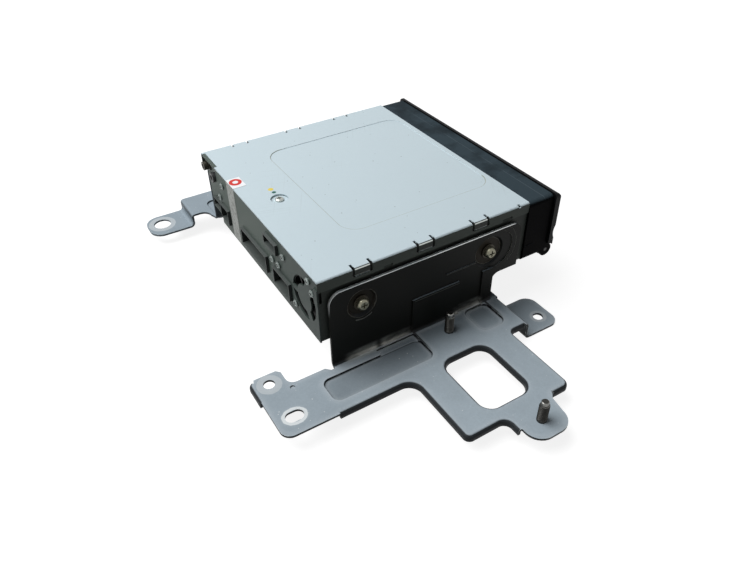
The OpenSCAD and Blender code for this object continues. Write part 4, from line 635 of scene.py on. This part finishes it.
def from_outline(tree, across, along, centre, half, corner):
    """Distance outside a rounded rectangle that is centred there, in metres."""
    sides = []
    for value, middle, reach in zip((across, along), centre, half):
        off = maths(tree, "ABSOLUTE", maths(tree, "SUBTRACT", value, middle * MM))
        sides.append(maths(tree, "SUBTRACT", off, (reach - corner) * MM))
    beyond = wire(
        tree,
        "ShaderNodeCombineXYZ",
        {"X": maths(tree, "MAXIMUM", sides[0]), "Y": maths(tree, "MAXIMUM", sides[1])},
    )
    outside = wire(tree, "ShaderNodeVectorMath", {0: beyond.outputs[0]}, operation="LENGTH")
    deepest = maths(tree, "MINIMUM", maths(tree, "MAXIMUM", sides[0], sides[1]))
    total = maths(tree, "ADD", outside.outputs["Value"], deepest)
    return maths(tree, "SUBTRACT", total, corner * MM)


coated_sheet = finish("coated_sheet", tone(200, 216, 223), 0.4, fleck=2.2, patch=60,
                      depth=0.02, spread=0.03, Specular_IOR_Level=0.3)
tree = coated_sheet.node_tree
# Hands and boxes have left fine scratches, two ways across, and a few dark specks
for turn in (0.5, 1.9):
    streaks = masked(coated_sheet, scratches, Turn=turn, Share=0.17)
    lay_over(coated_sheet, maths(tree, "MULTIPLY", streaks, 0.22),
             color=tone(180, 192, 196))
dots = masked(coated_sheet, specks, Size=0.5, Share=0.06)
lay_over(coated_sheet, maths(tree, "MULTIPLY", dots, 0.7), color=tone(112, 120, 120))
x, y, z = (coordinate(tree, axis) for axis in "XYZ")
# The step round the pressed panel shows as a thin line: painted shade on two of its
# sides and a painted highlight on the two that face the light
press = from_outline(tree, x, y, PRESS_CENTRE, PRESS_HALF, PRESS_CORNER)
shaded = maths(tree, "MAXIMUM", ramp(tree, y, 20 * MM, 30 * MM),
               maths(tree, "LESS_THAN", x, -45 * MM))
lay_over(coated_sheet, product(tree, within(tree, press, -0.3, 0.2), shaded, 0.8),
         color=tone(150, 154, 138))
lit_side = maths(tree, "SUBTRACT", 1.0, shaded)
lay_over(coated_sheet, product(tree, within(tree, press, -0.3, 0.3), lit_side, 0.45),
         color=tone(216, 227, 232))
# The slits at both ends of a snap tab are painted dark inside as shade
for middle in SNAP_TABS:
    for slit in (middle - SLIT_OFFSET, middle + SLIT_OFFSET):
        slit_shade = product(tree, within(tree, y, slit - SLIT_HALF, slit + SLIT_HALF),
                       maths(tree, "LESS_THAN", x, SLIT_X * MM))
        lay_over(coated_sheet, slit_shade, color=tone(10, 11, 10), roughness=0.7)
# Two dabs of paint by the screw say that it was tightened and looked at
for across, along, size, color in PAINT_DABS:
    dab = masked(coated_sheet, ragged_ring, Centre=(across * MM, along * MM, 0), Radius=0.0,
                 Width=size * MM, Stretch=(1, 1, 0))
    lay_over(coated_sheet, dab, color=tone(*color), roughness=0.5)
# The upright faces of the folded lip and of its snap tabs are painted dark as shade
lip_shade = product(tree, masked(coated_sheet, stance, "Upright"),
              maths(tree, "LESS_THAN", z, LIP_TOP * MM))
lay_over(coated_sheet, lip_shade, color=tone(66, 73, 68), roughness=0.6)
# Each snap tab gets painted shade on its face and fold, and painted highlights along two
# edges
for middle in SNAP_TABS:
    tab = product(tree, within(tree, y, middle - TAB_HALF, middle + TAB_HALF),
                  maths(tree, "LESS_THAN", x, TAB_X * MM))
    lay_over(coated_sheet, product(tree, tab, within(tree, z, TAB_FOOT, TAB_HEAD), 0.7),
             color=tone(26, 28, 26))
    fold_shade = product(tree, within(tree, y, middle - 5, middle + 5),
                   within(tree, x, -88.7, -88.1),
                   maths(tree, "GREATER_THAN", z, 44.4 * MM))
    lay_over(coated_sheet, fold_shade, color=tone(24, 27, 26))
    for low, high, level in ((43.95, 44.6, 0.85), (40.1, 40.5, 0.35)):
        tab_highlight = product(tree, tab, within(tree, z, low, high), level)
        lay_over(coated_sheet, tab_highlight, color=tone(206, 212, 208), roughness=0.3,
                 metallic=0.9)
lid = rounded_copy("top_cover", "pressed_lid", "chassis", 0.2)
dress(coated_sheet, lid)
dress(zinc_plate, "cover_screw")

# A white paper seal is stuck over the rear edge of the cover and down the rear panel,
# so that opening the case tears it. It has a plain red ring on top, and the strip on
# the panel has gone grey with dirt.

# The middle, the radius and the width of the ring, in millimetres
RING_X, RING_Y = 35.4, 71.4
RING_RADIUS, RING_WIDTH = 3.1, 3.0

seal_paper = finish("seal_paper", tone(244, 247, 250), 0.7, fleck=0.5, patch=10,
                    depth=0.04)
mark = masked(seal_paper, ragged_ring, Centre=(RING_X * MM, RING_Y * MM, 0),
              Radius=RING_RADIUS * MM, Width=RING_WIDTH * MM, Stretch=(1, 1, 0))
tree = seal_paper.node_tree
on_top = masked(seal_paper, stance, "Upward")
lay_over(seal_paper, maths(tree, "MULTIPLY", mark, on_top), color=tone(206, 52, 44))
strip = masked(seal_paper, stance, "Upright")
lay_over(seal_paper, strip, color=tone(194, 198, 194))
place = wire(tree, "ShaderNodeTexCoord").outputs["Object"]
soil = wire(tree, "ShaderNodeTexNoise",
            {"Vector": place, "Scale": 520.0, "Detail": 5.0, "Roughness": 0.7})
smudges = maths(tree, "MULTIPLY", strip, ramp(tree, soil.outputs[0], 0.42, 0.72))
lay_over(seal_paper, smudges, color=tone(132, 135, 130))
dress(seal_paper, "seal_label")

# Both brackets are heavy steel stampings with turned edges, grey passivated, one on
# each side of the case. Washers have rubbed bright rings round their holes, and the
# upright flanges are painted dark as shade.

# In millimetres: the heights of the plate, of the foot of the flange and of the middles
# of its dishes, and where the dishes are along the case
PLATE_TOP = -17.6
FLANGE_FOOT = -14
DISH_HEIGHT = 20.7
REAR_DISH, FRONT_DISH = 49.5, -44
# The outline of the near flange: its middle, its half sizes and its rear corner's radius
FLANGE_MIDDLE, FLANGE_HALF, FLANGE_CORNER = (-1.2, 10), (72, 25.4), 8.4
CUT_EDGE_FROM, CUT_EDGE_TO = 34.95, 36
# The bend at its foot, outward and up, and its stretches with rubbing and painted
# highlights
BEND_OUT, BEND_UP = (91.2, 94.8), (-19, -13.4)
LIT_AND_RUBBED_BENDS = ((40, 62), (15, 37), (-40, -18))
# The painted highlight lines on the groove and the top of the foot panel: from where to
# where up and along the flange, and how bright
GROOVE_LINE = ((15.7, 16.3), (-35, -11), 0.55)
FOOT_LINE = ((5.8, 6.3), (-21, 13), 0.4)
# The rings that washers have rubbed: the middle of the hole, the radius and the width
REAR_EAR_RING = (-85, 109.4, 5.6, 4.4)
FRONT_EAR_RING = (-114.4, -73.7, 4.6, 2.6)
FAR_FOOT_RING = (120.2, 108.5, 8.5, 4.2)
# The pressed pads: the middle, the half sizes and how much painted shade darkens the pad
LONG_PAD = ((-108.25, 48.5), (9.25, 34.5), 0.32)
SHORT_PAD = ((-105, -33.5), (11, 9.5), 0.02)
PAD_CORNER = 5
# The shadow in the front end of each pad: its two sides, and how far out it fades
PAD_SHADOWS = ((12.8, 14.6, 116), (-44.2, -42.6, 114))

# Edge wear and sheen bands the sharp edges, whole or broken up, for wear and painted
# highlights
edge_wear_and_sheen, given, out = shader_group(
    "edge_wear_and_sheen", (("Width", "Float"), ("Break up", "Float")), (("Mask", "Float"),)
)
soft = wire(edge_wear_and_sheen, "ShaderNodeBevel",
            {"Radius": maths(edge_wear_and_sheen, "MULTIPLY", given.outputs["Width"], MM)}, samples=4)
true = wire(edge_wear_and_sheen, "ShaderNodeNewGeometry")
agree = wire(
    edge_wear_and_sheen,
    "ShaderNodeVectorMath",
    {0: soft.outputs[0], 1: true.outputs["True Normal"]},
    operation="DOT_PRODUCT",
)
turned = maths(edge_wear_and_sheen, "SUBTRACT", 1, agree.outputs["Value"])
near_edge = ramp(edge_wear_and_sheen, turned, 0.02, 0.2)
place = wire(edge_wear_and_sheen, "ShaderNodeTexCoord").outputs["Object"]
broken = wire(edge_wear_and_sheen, "ShaderNodeTexNoise",
              {"Vector": place, "Scale": 260.0, "Detail": 4.0, "Roughness": 0.7})
broken = maths(edge_wear_and_sheen, "ADD", broken.outputs[0], given.outputs["Break up"])
kept = ramp(edge_wear_and_sheen, broken, 0.45, 0.62)
edge_wear_and_sheen.links.new(maths(edge_wear_and_sheen, "MULTIPLY", near_edge, kept), out.inputs["Mask"])

passivated = finish("passivated", tone(166, 179, 188), 0.45, fleck=1.2, patch=16,
                    depth=0.11, bump=0.3, grain_height=0.05, Specular_IOR_Level=0.1)
tree = passivated.node_tree
x, y, z = (coordinate(tree, axis) for axis in "XYZ")
outward = maths(tree, "ABSOLUTE", x)
near_side = maths(tree, "LESS_THAN", x, 0)
plate = maths(tree, "LESS_THAN", z, PLATE_TOP * MM)
# Painted shade, with a painted reflection of the dark flange, darkens the plate towards it
shade_towards_flange = maths(tree, "SUBTRACT", 1.0, ramp(tree, outward, 93 * MM, 126 * MM))
lay_over(passivated, product(tree, shade_towards_flange, within(tree, y, -66, 48, 26), 0.72),
         color=tone(70, 79, 85))
# The rear arm and the far bracket are a little darker than the rest
lay_over(passivated, maths(tree, "MULTIPLY", ramp(tree, y, 50 * MM, 80 * MM), 0.2),
         color=tone(104, 115, 124))
far_side = maths(tree, "GREATER_THAN", x, 0)
lay_over(passivated, maths(tree, "MULTIPLY", far_side, 0.22), color=tone(112, 126, 136))
# Washers have rubbed rings round the holes
for across, along, radius, width in (REAR_EAR_RING, FRONT_EAR_RING, FAR_FOOT_RING):
    ring = masked(passivated, ragged_ring, Centre=(across * MM, along * MM, 0),
                  Radius=radius * MM, Width=width * MM, Stretch=(1, 1, 0))
    lay_over(passivated, maths(tree, "MULTIPLY", ring, 0.6), color=tone(202, 208, 211),
             roughness=0.3)
slot_ring = masked(passivated, ragged_ring, Centre=(-113.7 * MM, 107.2 * MM, 0),
                   Radius=5.2 * MM, Width=2.6 * MM, Stretch=(1, 0.82, 0))
lay_over(passivated, slot_ring, color=tone(226, 232, 234), roughness=0.25)
flecks = masked(passivated, specks, Size=0.4, Share=0.26)
lay_over(passivated, flecks, color=tone(208, 214, 216))
# The near plate is paler along its edges, a painted highlight on the crests by its turned
# edges
edge_highlight_band = masked(passivated, edge_wear_and_sheen, Width=6.0, Break_up=0.3)
lay_over(passivated, product(tree, edge_highlight_band, plate, near_side, 0.4),
         color=tone(206, 214, 220))
# The pressed pads get painted shade inside and on their steps, and a painted highlight
# beside them
for centre, half, fill in (LONG_PAD, SHORT_PAD):
    away = from_outline(tree, x, y, centre, half, PAD_CORNER)
    within_pad = maths(tree, "SUBTRACT", 1.0, ramp(tree, away, -0.6 * MM, 0.2 * MM))
    lay_over(passivated, product(tree, plate, near_side, within_pad, fill),
             color=tone(52, 59, 63))
    step_shade = within(tree, away, -0.6, 0.1, 0.25)
    lay_over(passivated, product(tree, plate, near_side, step_shade, 0.62),
             color=tone(44, 50, 54))
    crest_highlight = within(tree, away, 0.5, 0.9, 0.2)
    lay_over(passivated, product(tree, plate, near_side, crest_highlight, 0.35),
             color=tone(190, 198, 203))
# Painted deep shadow lies in the ends of the pads that face the front
for low, high, reach in PAD_SHADOWS:
    pad_end_shadow = product(tree, plate, near_side, within(tree, y, low, high, 0.3),
                    maths(tree, "SUBTRACT", 1.0, ramp(tree, outward, 104 * MM, reach * MM)))
    lay_over(passivated, maths(tree, "MULTIPLY", pad_end_shadow, 0.85), color=tone(14, 16, 18))
# Turned down edges are painted dark as shade, and their crest has scuffs and a painted
# highlight
tilted = masked(passivated, stance, "Tilted")
share = maths(tree, "ADD", 0.05, maths(tree, "MULTIPLY", near_side, 0.9))
lay_over(passivated, product(tree, tilted, share), color=tone(18, 20, 22))
scuffs_and_highlight = masked(passivated, edge_wear_and_sheen, Width=0.9, Break_up=-0.01)
lay_over(passivated, product(tree, scuffs_and_highlight, plate, 0.8), color=tone(190, 196, 198),
         roughness=0.35, metallic=0.8)
# The upright flanges are painted dark as shade, and browner round the dishes
upright = masked(passivated, stance, "Upright")
flange_shade = product(tree, upright, maths(tree, "SUBTRACT", 1.0, plate),
               maths(tree, "ADD", 0.6, maths(tree, "MULTIPLY", near_side, 0.4)))
lay_over(passivated, flange_shade, color=tone(17, 18, 16), roughness=0.5)
flange = product(tree, flange_shade, maths(tree, "GREATER_THAN", z, FLANGE_FOOT * MM))
for along, level in ((REAR_DISH, 0.25), (FRONT_DISH, 0.5)):
    browner_round_dish = masked(passivated, ragged_ring, Centre=(0, along * MM, DISH_HEIGHT * MM),
                  Radius=6 * MM, Width=9 * MM, Stretch=(0, 1, 1))
    lay_over(passivated, product(tree, flange, browner_round_dish, level), color=tone(66, 58, 46))
# The rims of the dishes get a painted highlight all round, and the steps beside them
# in part: from a low to a high place along the flange, and from a low to a high place up it
all_round = (-80, 80, -15, 40)
for along, radius, width, level, part in (
        (REAR_DISH, 9.7, 0.9, 0.5, all_round),
        (REAR_DISH, 11.6, 1.3, 0.9, (43, 54, -15, 12.5)),
        (FRONT_DISH, 9.7, 0.9, 0.6, all_round),
        (FRONT_DISH - 5, 13.6, 0.9, 0.5, (-70, -50, -15, 40)),
        (FRONT_DISH - 5, 17, 1.2, 0.4, (-70, -54, 8, 40))):
    rim_highlight = masked(passivated, ragged_ring, Centre=(0, along * MM, DISH_HEIGHT * MM),
                 Radius=radius * MM, Width=width * MM, Stretch=(0, 1, 1))
    y_low, y_high, z_low, z_high = part
    shown = product(tree, flange, rim_highlight, within(tree, y, y_low, y_high),
                    within(tree, z, z_low, z_high), level)
    lay_over(passivated, shown, color=tone(158, 158, 150))
# The edges of the groove and of the foot panels get painted highlights too
for up, along, level in (GROOVE_LINE, FOOT_LINE):
    edge_highlight_line = product(tree, flange, within(tree, z, *up), within(tree, y, *along), level)
    lay_over(passivated, edge_highlight_line, color=tone(150, 150, 144))
# Painted highlights mark the flange's cut top edge and its bend, which is also rubbed
cut_edge_highlight = within(tree, z, CUT_EDGE_FROM, CUT_EDGE_TO, 0.15)
from_edge = from_outline(tree, y, z, FLANGE_MIDDLE, FLANGE_HALF, FLANGE_CORNER)
corner_highlight = product(tree, within(tree, from_edge, -0.4, 0.6),
                       ramp(tree, y, 62 * MM, 64 * MM),
                       ramp(tree, z, 18 * MM, 32 * MM), 0.7)
cut_edge_highlight = maths(tree, "MAXIMUM", corner_highlight,
                 product(tree, cut_edge_highlight, within(tree, y, -66, 73, 3)))
lay_over(passivated, maths(tree, "MULTIPLY", cut_edge_highlight, near_side),
         color=tone(226, 229, 229), roughness=0.3, metallic=1.0)
in_bend = product(tree, within(tree, outward, *BEND_OUT, 0.4),
                  within(tree, z, *BEND_UP, 1.4))
place = wire(tree, "ShaderNodeTexCoord").outputs["Object"]
drawn = wire(tree, "ShaderNodeVectorMath", {0: place, 1: (1, 0.3, 1)},
             operation="MULTIPLY")
bend_streaks = wire(tree, "ShaderNodeTexNoise",
           {"Vector": drawn.outputs[0], "Scale": 110.0, "Detail": 4.0, "Roughness": 0.6})
for low, high in LIT_AND_RUBBED_BENDS:
    patch = product(tree, in_bend, near_side, within(tree, y, low, high, 2.5),
                    ramp(tree, bend_streaks.outputs[0], 0.3, 0.7))
    lay_over(passivated, maths(tree, "MULTIPLY", patch, 0.6), color=tone(196, 197, 190),
             roughness=0.35, metallic=0.8)
near_bracket = rounded_copy("left_bracket", "near_bracket", "chassis", 0.3)
far_bracket = rounded_copy("right_bracket", "far_bracket", "chassis", 0.3)
dress(passivated, near_bracket, far_bracket)

# Two threaded studs are welded up through the near plate. Their ends are turned down
# to guide a nut, and the whole stud is blackened.

# The names and the places of the studs, and their sizes in millimetres
STUD_PLACES = (("inner_stud", -103.8, -6), ("outer_stud", -188.1, -6))
STUD_RADIUS = 3.0
STUD_PITCH = 1.0
THREAD_DEPTH = 0.55
THREAD_RINGS = 100
# Where the thread starts over the weld, and how long it takes to reach its full depth
# there and to run out under the shoulder
RUN_IN_FROM, RUN_IN, RUN_OUT = 0.8, 1.2, 0.6
SHOULDER_BEVEL = 0.5
# The turned down end: its length, the part of it that tapers, and its step at the foot
GUIDE_LENGTH, GUIDE_TAPER, GUIDE_STEP = 2.4, 0.4, 0.3
TAPERED_TO = 0.8
STUD_SMOOTH_UNDER = 35

black_oxide = finish("black_oxide", tone(58, 58, 56), 0.28, fleck=0.5, patch=5,
                     depth=0.2, metallic=0.9)
# The grooves of the thread are painted dark as shade
groove = wire(black_oxide.node_tree, "ShaderNodeAttribute", attribute_name="groove")
lay_over(black_oxide, groove.outputs["Fac"], color=tone(8, 8, 8), roughness=0.6)
# The taper of the guide gets a painted highlight
tree = black_oxide.node_tree
tip_highlight = product(tree, masked(black_oxide, stance, "Tilted"),
              maths(tree, "GREATER_THAN", coordinate(tree, "Z"), -6.2 * MM), 0.6)
lay_over(black_oxide, tip_highlight, color=tone(150, 150, 146))
low, high = (corner.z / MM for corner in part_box("weld_studs"))
shoulder = high - GUIDE_LENGTH
for stud, x, y in STUD_PLACES:
    bpy.ops.object.select_all(action="DESELECT")
    bpy.ops.mesh.primitive_cylinder_add(
        vertices=36, radius=STUD_RADIUS * MM, depth=(shoulder - low) * MM,
        location=(x * MM, y * MM, (shoulder + low) / 2 * MM))
    piece = bpy.context.object
    piece.name = stud
    bpy.ops.object.transform_apply()
    bpy.ops.object.mode_set(mode="EDIT")
    mesh = bmesh.from_edit_mesh(piece.data)
    for edge in mesh.edges:
        a, b = (v.co.z for v in edge.verts)
        edge.select_set(abs(a - b) > MM)
    bpy.ops.mesh.select_mode(type="EDGE")
    bpy.ops.mesh.subdivide_edgering(number_cuts=THREAD_RINGS)
    bpy.ops.object.mode_set(mode="OBJECT")
    depth = piece.data.attributes.new("groove", "FLOAT", "POINT")
    for vertex in piece.data.vertices:
        dx, dy = vertex.co.x - x * MM, vertex.co.y - y * MM
        up = vertex.co.z / MM
        turn = math.atan2(dy, dx) / (2 * math.pi)
        phase = abs(((up / STUD_PITCH - turn) % 1.0) - 0.5) * 2
        # The thread runs out above the weld and under the shoulder, which is bevelled
        ease = min(1.0, max(0.0, (up - low - RUN_IN_FROM) / RUN_IN),
                   max(0.0, (shoulder - up) / RUN_OUT))
        cut = min(1.0, 1.25 * (1 - phase)) * ease
        depth.data[vertex.index].value = cut
        radius = STUD_RADIUS - THREAD_DEPTH * cut
        radius -= SHOULDER_BEVEL * max(0.0, 1 - (shoulder - up) / SHOULDER_BEVEL)
        scale = radius * MM / math.hypot(dx, dy)
        vertex.co.x, vertex.co.y = x * MM + dx * scale, y * MM + dy * scale
    bpy.ops.object.mode_set(mode="EDIT")
    mesh = bmesh.from_edit_mesh(piece.data)
    bpy.ops.mesh.select_mode(type="FACE")
    bpy.ops.mesh.select_all(action="DESELECT")
    for face in mesh.faces:
        on_top = face.calc_center_median().z > (shoulder - 0.1) * MM
        face.select_set(face.normal.z > 0.9 and on_top)
    bpy.ops.mesh.inset(thickness=GUIDE_STEP * MM)
    for rise in (GUIDE_LENGTH - GUIDE_TAPER, GUIDE_TAPER):
        bpy.ops.mesh.extrude_region_move(
            TRANSFORM_OT_translate={"value": (0, 0, rise * MM)})
    bpy.ops.transform.resize(
        value=(TAPERED_TO, TAPERED_TO, 1), center_override=(x * MM, y * MM, high * MM))
    bpy.ops.object.mode_set(mode="OBJECT")
    bpy.ops.object.shade_smooth_by_angle(angle=math.radians(STUD_SMOOTH_UNDER))
    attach(piece, "chassis")
    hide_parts("weld_studs")
    dress(black_oxide, piece)

# Four flanged steel screws hold the brackets to the case, through the dishes in the
# flanges. They are zinc plated, and the faces of their flanges are darker.

# How far out from the middle of the case a face is still the screw's own flange
WASHER_FACE = 91.0

flange_zinc = finish("flange_zinc", tone(128, 126, 110), 0.3, fleck=0.6, patch=4,
                     depth=0.25, spread=0.1, metallic=0.8)
tree = flange_zinc.node_tree
outward = maths(tree, "ABSOLUTE", coordinate(tree, "X"))
washer = maths(tree, "LESS_THAN", outward, WASHER_FACE * MM)
lay_over(flange_zinc, washer, color=tone(58, 54, 46), roughness=0.45)
screws = rounded_copy("bracket_screws", "flanged_screws", "chassis", 0.25,
                      segments=3)
dress(flange_zinc, screws)
